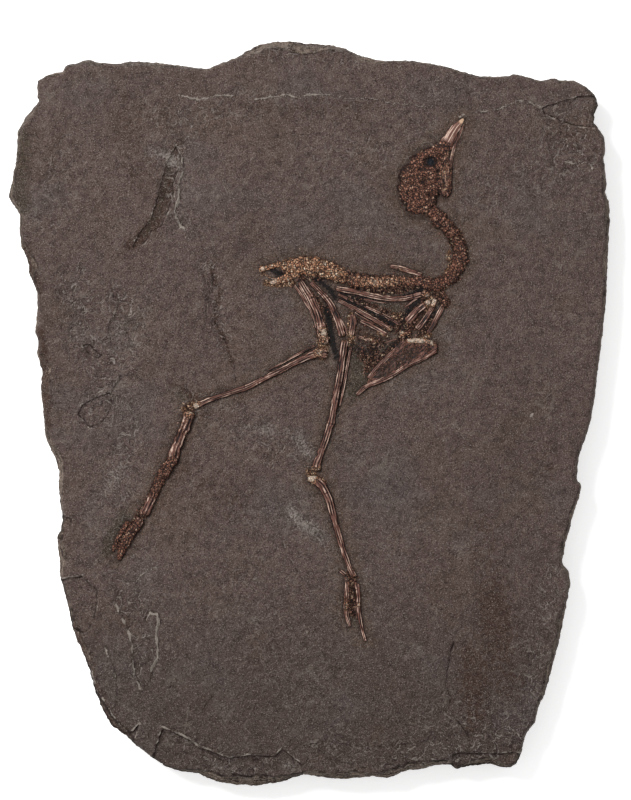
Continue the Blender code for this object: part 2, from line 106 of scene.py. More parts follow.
def boneEdge(points, runs):
    # distance to the edge of the nearest bone, less than 0 inside it
    best = np.full(len(points), 1e9)
    for run in runs:
        for (ax, ay, aw), (bx, by, bw) in zip(run, run[1:]):
            along = np.array((bx - ax, by - ay))
            rel = points - (ax, ay)
            t = np.clip(rel @ along / max(along @ along, 1e-9), 0.0, 1.0)
            near = rel - t[:, None] * along
            best = np.minimum(best, np.hypot(near[:, 0], near[:, 1]) - aw - (bw - aw) * t)
    return best


def insideOf(points, loop):
    # which points are within a closed loop
    within = np.zeros(len(points), bool)
    for (ax, ay), (bx, by) in zip(loop, loop[1:] + loop[:1]):
        if ay != by:
            crosses = (ay > points[:, 1]) != (by > points[:, 1])
            within ^= crosses & (points[:, 0] < (bx - ax) * (points[:, 1] - ay) / (by - ay) + ax)
    return within


def writeLayer(bm, verts, name, numbers):
    # one number or vector for each vertex, which the material reads by name
    store = bm.verts.layers.float_vector if np.ndim(numbers) == 2 else bm.verts.layers.float
    layer = store.get(name) or store.new(name)
    for v, number in zip(verts, np.asarray(numbers).tolist()):
        v[layer] = number


def newBoneShape(bm=None):
    # new layers make a bmesh forget the vertices in hand, so they come first
    bm = bm or bmesh.new()
    for name in ("ridgeShading", "pale", "rotten", "soot", "slaty"):
        bm.verts.layers.float.new(name)
    bm.verts.layers.float_vector.new("fibre")
    return bm


def raiseTo(verts, heights):
    for v, height in zip(verts, heights):
        v.co.z = height


def addPiece(name, bm, slot, node=None):
    # takes a shape from the drawing, in mm, to the frame, where it may stand for a CAD node
    for v in bm.verts:
        v.co = place(*v.co)
    bmesh.ops.recalc_face_normals(bm, faces=bm.faces)
    mesh = bpy.data.meshes.new(name)
    bm.to_mesh(mesh)
    bm.free()
    mesh.materials.append(materials[slot])
    mesh.shade_smooth()
    piece = bpy.data.objects.new(name, mesh)
    bpy.context.scene.collection.objects.link(piece)
    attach(piece, "root")
    if node:
        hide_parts(node)
    return piece


# Shader tools


def tint(r, g, b):
    # an eyedropper colour, 0 to 255, as the linear value that shaders take
    return tuple(toneShare * ((c / 255 + 0.055) / 1.055) ** 2.4 for c in (r, g, b)) + (1.0,)


def tints(*tones):
    return [tint(*tone) for tone in tones]


def setInputs(item, values):
    for socket, value in values.items():
        item.inputs[socket].default_value = value


def addNode(tree, kind, inputs=None, **settings):
    item = tree.nodes.new(kind)
    for key, value in settings.items():
        setattr(item, key, value)
    for socket, value in (inputs or {}).items():
        if isinstance(value, bpy.types.NodeSocket):
            tree.links.new(value, item.inputs[socket])
        else:
            item.inputs[socket].default_value = value
    return item


def mixColor(tree, factor, a, b):
    return addNode(tree, "ShaderNodeMix", {0: factor, 6: a, 7: b}, data_type="RGBA").outputs[2]


def mathOf(tree, operation, a, b=0.0):
    return addNode(tree, "ShaderNodeMath", {0: a, 1: b}, operation=operation).outputs[0]


def plus(tree, a, b):
    return mathOf(tree, "ADD", a, b)


def minus(tree, a, b):
    return mathOf(tree, "SUBTRACT", a, b)


def times(tree, a, b):
    return mathOf(tree, "MULTIPLY", a, b)


def sumOf(tree, parts):
    # parts added up, each times its share
    total = 0.0
    for part, share in parts:
        total = plus(tree, total, times(tree, part, share))
    return total


def fadeOf(tree, value, low, high, start=0.0, end=1.0):
    inputs = {0: value, 1: low, 2: high, 3: start, 4: end}
    return addNode(tree, "ShaderNodeMapRange", inputs, interpolation_type="SMOOTHSTEP").outputs[0]


def stretched(tree, vector, x, y, z):
    return addNode(tree, "ShaderNodeMapping", {"Vector": vector, "Scale": (x, y, z)}).outputs[0]


def noiseOf(tree, vector, size, detail, rough=0.55, seed=0.0, bend=0.0):
    # each seed reads another part of the noise
    shift = (seed * 31, seed * 17, seed * 7)
    shifted = addNode(tree, "ShaderNodeVectorMath", {0: vector, 1: shift}).outputs[0]
    inputs = {"Vector": shifted, "Scale": 1.0 / size}
    inputs.update({"Detail": detail, "Roughness": rough, "Distortion": bend})
    return addNode(tree, "ShaderNodeTexNoise", inputs).outputs["Fac"]


def swingOf(tree, vector, size, detail, rough, seed):
    # noise that swings to both sides of 0
    return minus(tree, noiseOf(tree, vector, size, detail, rough, seed), 0.5)


def attributeOf(tree, name, output="Fac"):
    return addNode(tree, "ShaderNodeAttribute", attribute_name=name).outputs[output]


def newGroup(name, inputs, outputs):
    # a group's first input is Vector, and all its others are numbers
    group = bpy.data.node_groups.new(name, "ShaderNodeTree")
    group.interface.new_socket(name="Vector", in_out="INPUT", socket_type="NodeSocketVector")
    for label, value in inputs.items():
        socket = group.interface.new_socket(name=label, in_out="INPUT", socket_type="NodeSocketFloat")
        socket.default_value = value
    for label in outputs:
        group.interface.new_socket(name=label, in_out="OUTPUT", socket_type="NodeSocketFloat")
    return group, group.nodes.new("NodeGroupInput").outputs, group.nodes.new("NodeGroupOutput").inputs


def useGroup(tree, group, **inputs):
    return addNode(tree, "ShaderNodeGroup", inputs, node_tree=group).outputs


def newMaterial(name, roughness, gloss):
    material = bpy.data.materials.new(name)
    material.use_nodes = True
    tree = material.node_tree
    shader = tree.nodes["Principled BSDF"]
    setInputs(shader, {"Roughness": roughness, "Specular IOR Level": gloss})
    # patterns are sized in mm, so Object coordinates are multiplied by 1000
    spot = stretched(tree, addNode(tree, "ShaderNodeTexCoord").outputs["Object"], 1000, 1000, 1000)
    return material, tree, shader, spot


def setSurface(tree, shader, color, height):
    # height is in mm
    tree.links.new(color, shader.inputs["Base Color"])
    bump = addNode(tree, "ShaderNodeBump", {"Strength": 1.0, "Distance": mm, "Height": height})
    tree.links.new(bump.outputs["Normal"], shader.inputs["Normal"])


def makeGrainGroup():
    # mineral grain: crisp light grains, dark pits, and their height from about -1 to 1
    group, given, out = newGroup("mineralGrain", {"Size": 0.6, "Seed": 0.0}, ["Light", "Dark", "Height"])
    scale = mathOf(group, "DIVIDE", 1.0, given["Size"])
    shifted = addNode(group, "ShaderNodeVectorMath", {0: given["Vector"], 1: given["Seed"]}).outputs[0]
    inputs = {"Vector": shifted, "Scale": scale, "Detail": 3.0, "Roughness": 0.7}
    fine = addNode(group, "ShaderNodeTexNoise", inputs).outputs["Fac"]
    cells = addNode(group, "ShaderNodeTexVoronoi", {"Vector": shifted, "Scale": scale}).outputs["Distance"]
    dents = times(group, minus(group, cells, 0.45), -0.3)
    swing = plus(group, minus(group, fine, 0.5), dents)
    group.links.new(fadeOf(group, swing, 0.06, 0.22), out["Light"])
    group.links.new(fadeOf(group, swing, -0.06, -0.22), out["Dark"])
    group.links.new(times(group, swing, 4.0), out["Height"])
    return group


def makeLeafGroup():
    # thin leaves of shale: ledges along a noise's contours, with masks for the painted highlight on their
    # edges and the painted shade at their feet
    group, given, out = newGroup("shaleLeaves", {"Size": 12.0, "Count": 9.0}, ["Edge", "ShadedFoot", "Height"])
    scale = mathOf(group, "DIVIDE", 1.0, given["Size"])
    inputs = {"Vector": given["Vector"], "Scale": scale, "Detail": 3.0, "Roughness": 0.5, "Distortion": 0.6}
    field = addNode(group, "ShaderNodeTexNoise", inputs).outputs["Fac"]
    level = times(group, field, given["Count"])
    part = mathOf(group, "FRACT", level)
    step = plus(group, mathOf(group, "FLOOR", level), fadeOf(group, part, 0.82, 1.0))
    edge = times(group, fadeOf(group, part, 0.8, 0.9), fadeOf(group, part, 1.0, 0.9))
    foot = times(group, fadeOf(group, part, 0.6, 0.72), fadeOf(group, part, 0.84, 0.76))
    group.links.new(edge, out["Edge"])
    group.links.new(foot, out["ShadedFoot"])
    group.links.new(step, out["Height"])
    return group


def makeGranuleGroup():
    # rotten bone: packed granules with gaps between them, each of its own tone
    group, given, out = newGroup("boneGranules", {"Size": 1.0}, ["Body", "Tone", "Height"])
    scale = mathOf(group, "DIVIDE", 1.0, given["Size"])
    bend = addNode(group, "ShaderNodeTexNoise", {"Vector": given["Vector"], "Scale": scale, "Detail": 2.0})
    inputs = {0: bend.outputs["Color"], "Scale": 1.7}
    shift = addNode(group, "ShaderNodeVectorMath", inputs, operation="SCALE").outputs[0]
    moved = addNode(group, "ShaderNodeVectorMath", {0: given["Vector"], 1: shift})
    inputs = {"Vector": moved.outputs[0], "Scale": scale}
    cells = addNode(group, "ShaderNodeTexVoronoi", inputs)
    gaps = addNode(group, "ShaderNodeTexVoronoi", inputs, feature="DISTANCE_TO_EDGE")
    body = fadeOf(group, gaps.outputs["Distance"], 0.03, 0.2)
    drift = addNode(group, "ShaderNodeTexNoise", {"Vector": given["Vector"], "Scale": scale, "Detail": 3.0})
    drift = fadeOf(group, drift.outputs["Fac"], 0.34, 0.66, 0.0, 0.62)
    tone = addNode(group, "ShaderNodeSeparateColor", {0: cells.outputs["Color"]}).outputs[0]
    tone = plus(group, times(group, tone, 0.42), drift)
    group.links.new(body, out["Body"])
    group.links.new(tone, out["Tone"])
    group.links.new(times(group, body, plus(group, tone, 0.4)), out["Height"])
    return group


grainGroup = makeGrainGroup()
leafGroup = makeLeafGroup()
granuleGroup = makeGranuleGroup()


def granuleColor(tree, granules, gap, dark, mid, light, bright):
    # the colours of granules from the gaps between them to the palest
    tone = granules["Tone"]
    color = mixColor(tree, fadeOf(tree, tone, 0.1, 0.45), dark, mid)
    color = mixColor(tree, fadeOf(tree, tone, 0.5, 0.8), color, light)
    color = mixColor(tree, fadeOf(tree, tone, 0.84, 0.94), color, bright)
    return mixColor(tree, granules["Body"], gap, color)


# Slab: where its face is broken, stained and dusty

slabLook = {
    "cell": 2.0,  # mm, halved twice where the surface is busy
    "jitter": 0.16,  # how far a vertex strays, as a share of its shortest edge
    "furthest": 0.47,  # the CAD slab's proudest layer, as a share of its height
    "outlineStep": 0.3,  # mm
    "ragged": 0.42,  # how far the broken outline wanders, mm
    "wallWander": 0.3,  # how far the broken wall wanders, mm
    "bankDrop": 3.6,  # how far the face drops at its rim, mm
    "bankLeaves": 4,  # the leaves of shale that the drop is broken into
    "setback": 1.0,  # how far in the face breaks off, mm
    "bigBreak": 3.3,  # a wide break that is wider than this is meshed finely, mm
    "swell": 0.45,  # height of the broad unevenness, mm
    "flakeDepth": 1.4, "crackDepth": 1.5, "ledgeRise": 1.5,  # what the listed heights are multiplied by
    # the halo is a stain; the thin dark line round a bone is painted contact shade, partly a dark film
    "haloReach": 6.0, "contactShadeReach": 0.8,  # how far the dark round a bone reaches, mm
    # the sheet is fine this near to a crack or ledge, a bone and the rim, whole or broken, mm
    "nearLine": 2.6, "nearBone": 3.0, "nearRim": 4.5, "nearBreak": 8.0,
    # and finest this near to a crack or ledge, a broken rim and a crust's middle, mm
    "onLine": 1.1, "onBreak": 6.0, "onCrust": 1.5,
}

# Wide breaks along the rim: x, y, reach, width.
wideBreaks = [
    (150, 21, 26, 5.4), (128, 24, 12, 2.4), (184, 26, 12, 2.4), (13.5, 57.5, 9, 3.0),
    (14.5, 133, 14, 3.6), (72, 31, 16, 2.0), (40, 325, 28, 2.6), (21, 190, 24, 3.2), (57, 362, 18, 2.8),
    (120, 392, 34, 4.6), (205, 386, 28, 3.2), (243, 384, 14, 3.4), (302, 110, 40, 1.0),
    (280, 330, 40, 1.8), (8, 95, 24, 1.4), (24, 232, 20, 2.2), (28, 275, 18, 2.6), (170, 392, 24, 3.0),
    (276, 262, 20, 1.6),
]

# Flakes lost from the face: depth, and their outline.
flakes = [
    (0.5, [(38.8, 207.5), (40.6, 202.5), (43.8, 200.6), (48.8, 198.1), (55.4, 196.2), (56.3, 202.5),
           (53.8, 208.1), (50.2, 212), (45, 214)]),
    (0.9, [(24, 290), (41, 288), (48.5, 295), (48.8, 301), (46.9, 310), (45, 314.4), (41.9, 316.5),
           (38.8, 315.6), (34, 313)]),
    (1.1, [(36, 322), (43.8, 330), (48.1, 345), (54, 354), (61.3, 365.8), (66.3, 365.6), (70, 361.3),
           (66, 372), (40, 360)]),
    (0.7, [(270.6, 53.8), (278.8, 51), (290, 48), (306, 47), (306, 64), (296.3, 63.8), (287.5, 63.1),
           (282.5, 61.3), (276.3, 58.8), (271.9, 56.9)]),
    (1.0, [(81.3, 363.8), (87.5, 366.3), (95, 370), (100, 373.8), (107.5, 376.3), (113.8, 378.8),
           (126.3, 377.5), (137.5, 378), (141, 374), (152, 383), (150, 400), (70, 396)]),
    (1.0, [(226.3, 377.4), (230, 376.2), (247.5, 376.8), (258.8, 376), (264, 380), (262, 392),
           (224, 392)]),
    (0.5, [(88, 73), (91, 79), (89, 86), (86.5, 92), (87, 98), (84, 106), (81, 113), (76, 116),
           (72, 122), (66, 124), (69, 117), (75, 110), (78, 101), (80, 92), (83, 82), (86, 76)]),
    (0.5, [(41, 172.2), (45, 171.8), (47.5, 175), (51.5, 177.4), (49, 179.5), (44, 177)]),
    (0.5, [(31, 257), (36, 259.6), (35.4, 265), (31, 270), (24, 268)]),
]

# Cracks: depth, width, how chalky their edge is, and their run.
cracks = [
    (0.35, 0.45, 0.8, [(87.5, 47.3), (92.5, 48.8), (100, 50.3), (108.8, 48.1), (116.3, 48.1)]),
    (0.4, 0.45, 0.7, [(127.5, 50), (137.5, 48.8), (143.8, 47.8), (147.5, 49), (153.8, 47.8),
                      (165, 47.5)]),
    (0.35, 0.4, 0.45, [(165, 47.5), (172.5, 49.6), (182.5, 49.4), (187.5, 50), (197.5, 52.5),
                       (205, 52.8), (212.5, 54), (217.5, 53.1)]),
    (0.45, 0.5, 0.55, [(236.3, 56.3), (242.5, 56), (250, 54.8), (253.8, 53.1), (258.8, 50.6),
                       (263.8, 51.3), (270, 53.8)]),
    (0.3, 0.35, 0.75, [(282.5, 81.3), (286.3, 82.3), (290, 81.3), (295, 82.5), (295.6, 84.4)]),
    (0.2, 0.4, 0.3, [(276.9, 66.9), (277.5, 69.4), (282.5, 72.5)]),
    (0.15, 0.35, 0.4, [(267.5, 74.4), (265.6, 80), (264.4, 86.3), (260, 93.8)]),
    (0.1, 0.35, 0.25, [(252.5, 105), (250, 110), (245, 113.8), (237.5, 116.3)]),
    (0.75, 0.5, 0.0, [(228.1, 316.3), (226.9, 321.3), (225, 327.5), (224.4, 332.5), (223.5, 337.5),
                      (223.1, 343.8), (225, 347.5), (225, 355), (228.1, 360), (232.5, 365), (235, 370)]),
    (0.2, 0.4, 0.1, [(210, 328.8), (208.8, 336.3), (206.9, 342.5), (205.6, 350), (205, 355)]),
    (0.35, 0.4, 0.0, [(148.8, 198.8), (151.9, 194.4), (156.3, 192.5)]),
    (0.3, 0.35, 0.0, [(90, 355), (101.3, 355), (105, 350), (108.8, 345)]),
    (0.35, 0.4, 0.35, [(141.3, 270), (142.5, 276.3), (147.5, 283.8), (151.3, 290)]),
    (0.2, 0.35, 0.2, [(127.5, 360), (128, 365), (130, 368.8)]),
    (0.3, 0.4, 0.0, [(77.5, 340), (82.5, 341.9), (87.5, 343.8)]),
    (0.4, 0.45, 0.0, [(51.3, 288.1), (56.3, 289.4), (63.8, 291), (68.8, 290.6)]),
    (0.25, 0.4, 0.5, [(68.8, 290.6), (71.3, 287.5), (75, 285), (79.4, 283.8)]),
    (0.3, 0.4, 0.2, [(53.8, 278.8), (58.8, 282.5), (61.3, 283.8)]),
    (0.15, 0.35, 0.25, [(121.9, 197.5), (123, 205), (123.8, 212.5), (125, 220)]),
    (0.3, 0.4, 0.0, [(275.6, 170), (273.8, 177.5)]),
    (0.5, 0.9, 0.0, [(105, 131), (106.3, 138.8), (110, 145), (108.8, 152.5), (107.5, 161), (112.5, 170),
                     (113.8, 175), (116.9, 182.5), (118, 191)]),
    (0.45, 0.5, 0.0, [(104, 376), (112, 381), (122, 381.5), (127, 385.6)]),
    (0.4, 0.5, 0.0, [(95, 382), (106, 384), (118, 387.5), (126, 388.5)]),
    (0.4, 0.5, 0.0, [(164, 379), (182, 384), (204, 381), (225, 380)]),
    (0.3, 0.5, 0.1, [(150, 374), (165, 371), (186, 374), (214, 371), (224, 370)]),
]

# Ledges, which stand up on the right of their run: height, reach, how chalky their edge is, and their run.
ledges = [
    (0.35, 4.0, 0.75, [(58.1, 301.3), (60, 307.5), (63.1, 312.5), (65, 317.5), (66, 323.8),
                       (66.5, 332.5), (68.1, 340), (70, 343.8)]),
    (0.45, 4.5, 0.9, [(73.1, 310), (75, 306.3), (78.8, 307.5), (79.4, 311.3), (78.1, 316.3),
                      (78.8, 322.5), (79, 328.8), (76.3, 333.8), (75, 338.8)]),
    (0.35, 3.0, 0.5, [(52.5, 323.8), (54.4, 330), (56.9, 335), (58.1, 342.5), (58.1, 350),
                      (57.5, 352.5)]),
    (0.3, 3.0, 0.35, [(58.8, 151), (58, 155), (55, 161), (53.8, 166), (55, 172.5)]),
    (0.4, 3.0, 0.2, [(67.5, 187.5), (62.5, 187.5), (60, 187.5), (58.8, 191), (57, 194)]),
    (0.25, 3.0, 0.1, [(82.5, 193.8), (75, 192.5), (70, 188.8)]),
    (0.45, 5.0, 0.8, [(91.4, 79), (91.6, 86), (89.4, 92), (89.8, 98), (87.2, 106), (90, 112), (94, 117)]),
    (0.3, 3.0, 0.3, [(81.3, 363), (87.5, 365.4), (95, 369), (100, 372.8), (107.5, 375.4), (113.8, 378)]),
    (0.25, 4.0, 0.3, [(101, 136), (102.5, 146), (103, 155), (102, 165)]),
    (0.25, 3.0, 0.3, [(66, 159), (62, 163), (64, 170), (67, 176)]),
    (0.2, 2.5, 0.3, [(36, 160), (33, 166), (38, 171)]),
]

# Colour marks on the face, by layer: strength, half width, and their run.
marks = {
    "dust": [
        (0.8, 4.0, [(76, 76), (82, 77), (85, 80)]),
        (0.5, 4.0, [(89, 84), (92, 96), (90, 108), (96, 118)]),
        (0.55, 6.0, [(36, 140), (38, 155), (36, 170)]),
        (0.6, 6.0, [(58, 165), (64, 160), (70, 156)]),
        (0.6, 5.0, [(44, 168), (56, 176), (66, 172)]),
        (0.6, 4.0, [(40, 202), (47, 199), (56, 195), (60, 186)]),
        (0.45, 5.0, [(60, 205), (66, 212), (60, 222)]),
        (0.6, 3.5, [(101, 203), (107, 203), (112, 200)]),
        (0.55, 4.0, [(118, 214), (124, 216), (132, 214)]),
        (0.5, 6.0, [(135, 214), (146, 218), (152, 226)]),
        (0.45, 5.0, [(60, 235), (48, 250), (44, 262)]),
        (0.7, 4.5, [(145, 256), (152, 262), (160, 268)]),
        (0.4, 5.0, [(150, 218), (155, 228)]),
        (0.5, 4.0, [(217, 152), (221, 160), (224, 170), (228, 180)]),
        (0.4, 6.0, [(196, 190), (210, 196), (222, 190)]),
        (0.45, 6.0, [(168, 220), (176, 232), (182, 224)]),
        (0.4, 6.0, [(195, 248), (208, 262), (222, 258)]),
        (0.55, 3.0, [(201, 323), (206, 325), (211, 324)]),
        (0.6, 3.0, [(110, 355), (113, 357)]),
        (0.6, 3.0, [(86, 346), (87, 347)]),
        (0.8, 3.2, [(142, 382), (147, 384)]),
        (0.75, 3.4, [(107, 383), (116, 385), (124, 389)]),
        (0.5, 3.0, [(172, 380), (180, 382), (186, 381)]),
        (0.5, 3.5, [(215, 362), (222, 364), (230, 362)]),
        (0.5, 3.0, [(58, 338), (60, 350), (66, 358)]),
        (0.35, 14.0, [(60, 240), (70, 290), (80, 300)]),
        (0.3, 16.0, [(150, 260), (190, 300), (150, 340)]),
        (0.35, 8.0, [(88, 62), (90, 78)]),
        (0.4, 3.0, [(110, 44), (122, 46), (140, 44), (160, 46)]),
        (0.7, 2.6, [(118, 28.6), (126, 26.4), (135, 23.6), (146, 22.6), (156, 23), (172, 24.6),
                    (182, 28.6)]),
        (0.9, 1.2, [(34, 32), (42, 31), (49, 32)]),
        (0.9, 1.2, [(61, 32.4), (74, 32), (88, 33.2), (96, 34.6)]),
        (0.9, 1.6, [(18, 51.4), (13.4, 57.6), (10.4, 63)]),
    ],
    "brown": [
        (1.1, 4.2, [(171, 147), (184, 152), (198, 157), (209, 151)]),
        (1.1, 3.6, [(178, 158), (190, 163), (202, 163), (213, 160)]),
        (0.9, 4.0, [(180, 168), (190, 171), (198, 174)]),
        (0.9, 3.0, [(154, 146), (160, 152), (165, 161)]),
        (1.3, 3.2, [(89.4, 72.5), (87, 80), (84, 90), (82.5, 97.5), (80, 105), (76, 112.5), (70, 119),
                    (65.6, 122.5)]),
        (0.7, 7.0, [(235, 330), (236, 345), (238, 362)]),
        (0.5, 8.0, [(246, 300), (252, 320), (256, 345)]),
        (0.9, 1.3, [(105, 131), (106.3, 138.8), (110, 145), (108.8, 152.5), (107.5, 161), (112.5, 170),
                    (116, 181)]),
        (0.6, 5.0, [(90, 195), (96, 199), (101, 205)]),
        (0.55, 5.0, [(62, 262), (58, 271), (54, 279)]),
        (0.4, 12.0, [(95, 240), (110, 245), (120, 250)]),
        (0.35, 10.0, [(60, 55), (70, 90)]),
        (0.4, 8.0, [(120, 52), (150, 54), (180, 54)]),
        (0.35, 10.0, [(243, 262), (248, 300), (240, 340)]),
        (0.35, 6.0, [(272, 226), (276, 236)]),
        (0.35, 8.0, [(280, 66), (292, 76)]),
        (0.9, 2.6, [(20, 166), (22, 180), (22.5, 196), (24, 212)]),
        (0.8, 2.6, [(13, 125), (16, 134), (19, 145)]),
        (0.8, 3.2, [(35.6, 313), (42, 326), (47.5, 343.8), (56, 362.5), (62.5, 367.5)]),
    ],
    "black": [
        (1.0, 1.7, [(163.4, 155), (164.8, 161), (165.6, 167), (166.6, 173), (168.6, 178.6)]),
        (0.9, 1.5, [(158, 139.6), (162, 142), (165.5, 145.5), (167.5, 149)]),
        (0.95, 1.6, [(135.8, 134.6), (138.5, 136.4), (141, 137)]),
        (0.9, 1.3, [(197, 150), (202, 148.6), (207, 146.6), (212, 143.6), (215.5, 142.4)]),
        (0.8, 1.6, [(171, 150), (176, 151.5), (182, 153.6), (190, 158.4), (197, 162)]),
        (0.7, 1.4, [(170, 145.6), (176, 148), (184, 149.4), (192, 151.5)]),
        (0.75, 2.0, [(202, 159), (205, 154), (209, 150.5)]),
        (0.8, 2.0, [(211, 162), (214, 158.6), (216.6, 156)]),
        (0.6, 1.8, [(201, 164), (203.6, 168.4)]),
        (0.6, 1.5, [(194, 183), (199, 178), (205, 174.5)]),
        (0.55, 1.2, [(186, 190), (190, 186), (194, 181)]),
        (0.5, 3.0, [(176, 173), (184, 176), (192, 174), (198, 172)]),
        (0.5, 1.0, [(171.4, 188), (170.4, 200), (168, 212)]),
    ],
    "green": [
        (0.9, 5.0, [(176, 178), (180, 184), (180, 190), (175, 196)]),
        (0.9, 3.4, [(186, 180), (193, 177), (200, 173)]),
        (1.0, 2.6, [(192, 186), (198, 182), (205, 178)]),
        (0.7, 3.0, [(186, 152), (194, 154), (199, 155)]),
        (0.6, 2.6, [(175.5, 298), (176.5, 306), (177.5, 312)]),
        (0.5, 3.0, [(88, 196), (93, 200)]),
        (0.8, 4.0, [(63, 258), (57, 267), (54, 275)]),
        (0.6, 5.0, [(12, 68), (11, 82), (9, 96), (12, 104)]),
        (0.5, 2.0, [(85, 84), (82, 96), (79, 106), (72, 117)]),
    ],
    "chalk": [
        (0.9, 0.5, [(229.6, 58.6), (232.6, 57)]),
        (0.9, 0.6, [(265.2, 206), (266.2, 208)]),
        (0.7, 0.6, [(270, 231), (271, 233)]),
        (0.8, 0.6, [(145, 302.4), (146.4, 303.4)]),
        (0.7, 0.5, [(153, 315.6), (153.4, 316.6)]),
        (0.8, 0.5, [(68, 359.4), (69.6, 359.8)]),
        (0.5, 0.35, [(192, 122.6), (196, 120.6)]),
        (0.6, 0.5, [(267.4, 301.8), (276, 301.9)]),
        (0.5, 0.6, [(268, 331), (266.5, 336), (270, 340)]),
    ],
}

# Where thin flakes lie about on the face: strength, half width, and their run.
roughs = [
    (1.0, 9, [(36, 138), (38, 150), (40, 165)]), (1.0, 9, [(60, 150), (66, 160), (62, 172), (50, 180)]),
    (0.9, 7, [(58, 186), (50, 198), (44, 208)]), (0.8, 9, [(60, 205), (66, 215), (60, 230)]),
    (1.0, 6, [(86, 76), (88, 88), (86, 100), (90, 112)]), (0.9, 8, [(66, 305), (72, 325), (70, 340)]),
    (1.0, 8, [(90, 372), (110, 382), (130, 386)]), (0.6, 12, [(100, 200), (120, 215), (140, 225)]),
    (0.5, 10, [(75, 55), (90, 64)]), (0.9, 5, [(104, 130), (108, 150), (112, 172)]),
    (0.7, 12, [(282, 60), (290, 80)]), (0.5, 14, [(60, 250), (60, 290)]),
    (0.8, 8, [(205, 384), (250, 378)]), (0.4, 12, [(222, 40), (240, 46)]),
    (0.8, 6, [(120, 28), (150, 26), (180, 30)]), (1.0, 9, [(208, 378), (240, 372), (262, 366)]),
    (0.8, 7, [(264, 345), (272, 312), (277, 285)]), (0.6, 12, [(216, 362), (240, 356)]),
    (0.7, 9, [(160, 376), (200, 380)]), (0.6, 12, [(100, 60), (120, 52)]),
    (0.5, 16, [(240, 100), (262, 90), (280, 75)]), (0.4, 20, [(200, 70), (160, 80)]),
    (0.5, 14, [(30, 80), (24, 110)]), (0.35, 30, [(120, 290), (150, 340)]),
]

# Granular crust of rotten bone on the face, by its tone: strength, half width, and its run.
crusts = {
    "tan": [
        (1.0, 2.2, [(175.6, 158), (176, 165), (175.4, 171.5)]),
        (0.9, 1.7, [(196.7, 157.5), (200.5, 158.2), (203.5, 157)]),
        (1.0, 1.7, [(203.5, 170.5), (208, 170.2), (212, 168.6), (214.5, 167.6)]),
        (1.0, 2.2, [(214.6, 149.5), (216, 152), (214.6, 155.6)]),
        (0.8, 2.0, [(211, 174.6), (214.6, 175)]),
        (0.8, 1.4, [(189, 166.4), (193, 167.4)]),
        (0.8, 1.7, [(182.5, 169), (188, 170.4)]),
        (1.0, 3.0, [(160.6, 162), (161.6, 170), (161.5, 177.5)]),
        (0.9, 2.0, [(133, 141.4), (139, 142), (146, 141.5)]),
        (0.7, 1.5, [(224.6, 126), (225, 132), (222.4, 138)]),
        (0.7, 2.6, [(92.5, 204.6), (97, 202)]),
        (0.7, 2.6, [(153.5, 236), (158, 238.5), (161.5, 241)]),
        (1.0, 3.0, [(143, 132.4), (152, 130.8), (162, 132.4), (170, 135.8)]),
        (0.6, 1.5, [(131, 137), (133, 134.5)]),
    ],
    "umber": [
        (1.0, 3.8, [(172, 138.4), (186, 140.6), (200, 141.4), (210, 142.4)]),
        (0.8, 2.2, [(184, 144.8), (200, 145.2)]),
        (1.0, 3.6, [(213.2, 104), (218, 108), (223, 113), (227, 117.6)]),
        (1.0, 3.8, [(228.4, 120), (230.6, 126), (229.6, 132), (226, 138.4), (220, 142), (213, 142.6)]),
        (1.0, 2.8, [(201.6, 163.5), (202.4, 168), (200.6, 172)]),
        (1.0, 2.8, [(219, 148.4), (222, 149.6), (222.8, 151.8)]),
        (0.8, 3.0, [(175.6, 286), (176.4, 296), (176.6, 306)]),
        (0.8, 3.4, [(71, 257), (65, 265), (60.5, 273)]),
        (0.4, 4.0, [(177, 175), (184, 178), (186, 174)]),
        (0.75, 3.2, [(95, 206), (91, 217), (86.4, 229), (80, 240), (74, 253)]),
        (0.8, 2.0, [(147, 137), (152, 139), (160, 139.6)]),
        (0.75, 2.6, [(204, 159), (208, 155), (212, 151)]),
        (0.8, 5.0, [(176, 150), (188, 156), (200, 161)]),
        (0.4, 5.0, [(180, 166), (192, 171), (184, 178)]),
        (0.8, 4.0, [(206, 160), (212, 165), (214, 158)]),
        (0.55, 3.0, [(154, 146), (160, 152), (166, 160)]),
        (0.5, 3.0, [(182, 186), (188, 180), (196, 174)]),
    ],
}

# The broken wall from the rim down: depth, set-back, and how much of the rim's raggedness is left.
wallRings = [
    (4.2, 0.05, 1.0), (5.6, -0.2, 0.9), (6.1, 0.2, 0.8), (7.6, -0.1, 0.8), (8.4, 0.15, 0.6),
    (9.7, 0.0, 0.5), (10.2, 0.9, 0.4), (12.0, 1.1, 0.4), (12.5, 0.8, 0.3), (14.6, 1.2, 0.3),
    (15.0, 1.8, 0.2), (16.6, 2.2, 0.2), (18.0, 3.0, 0.1),
]


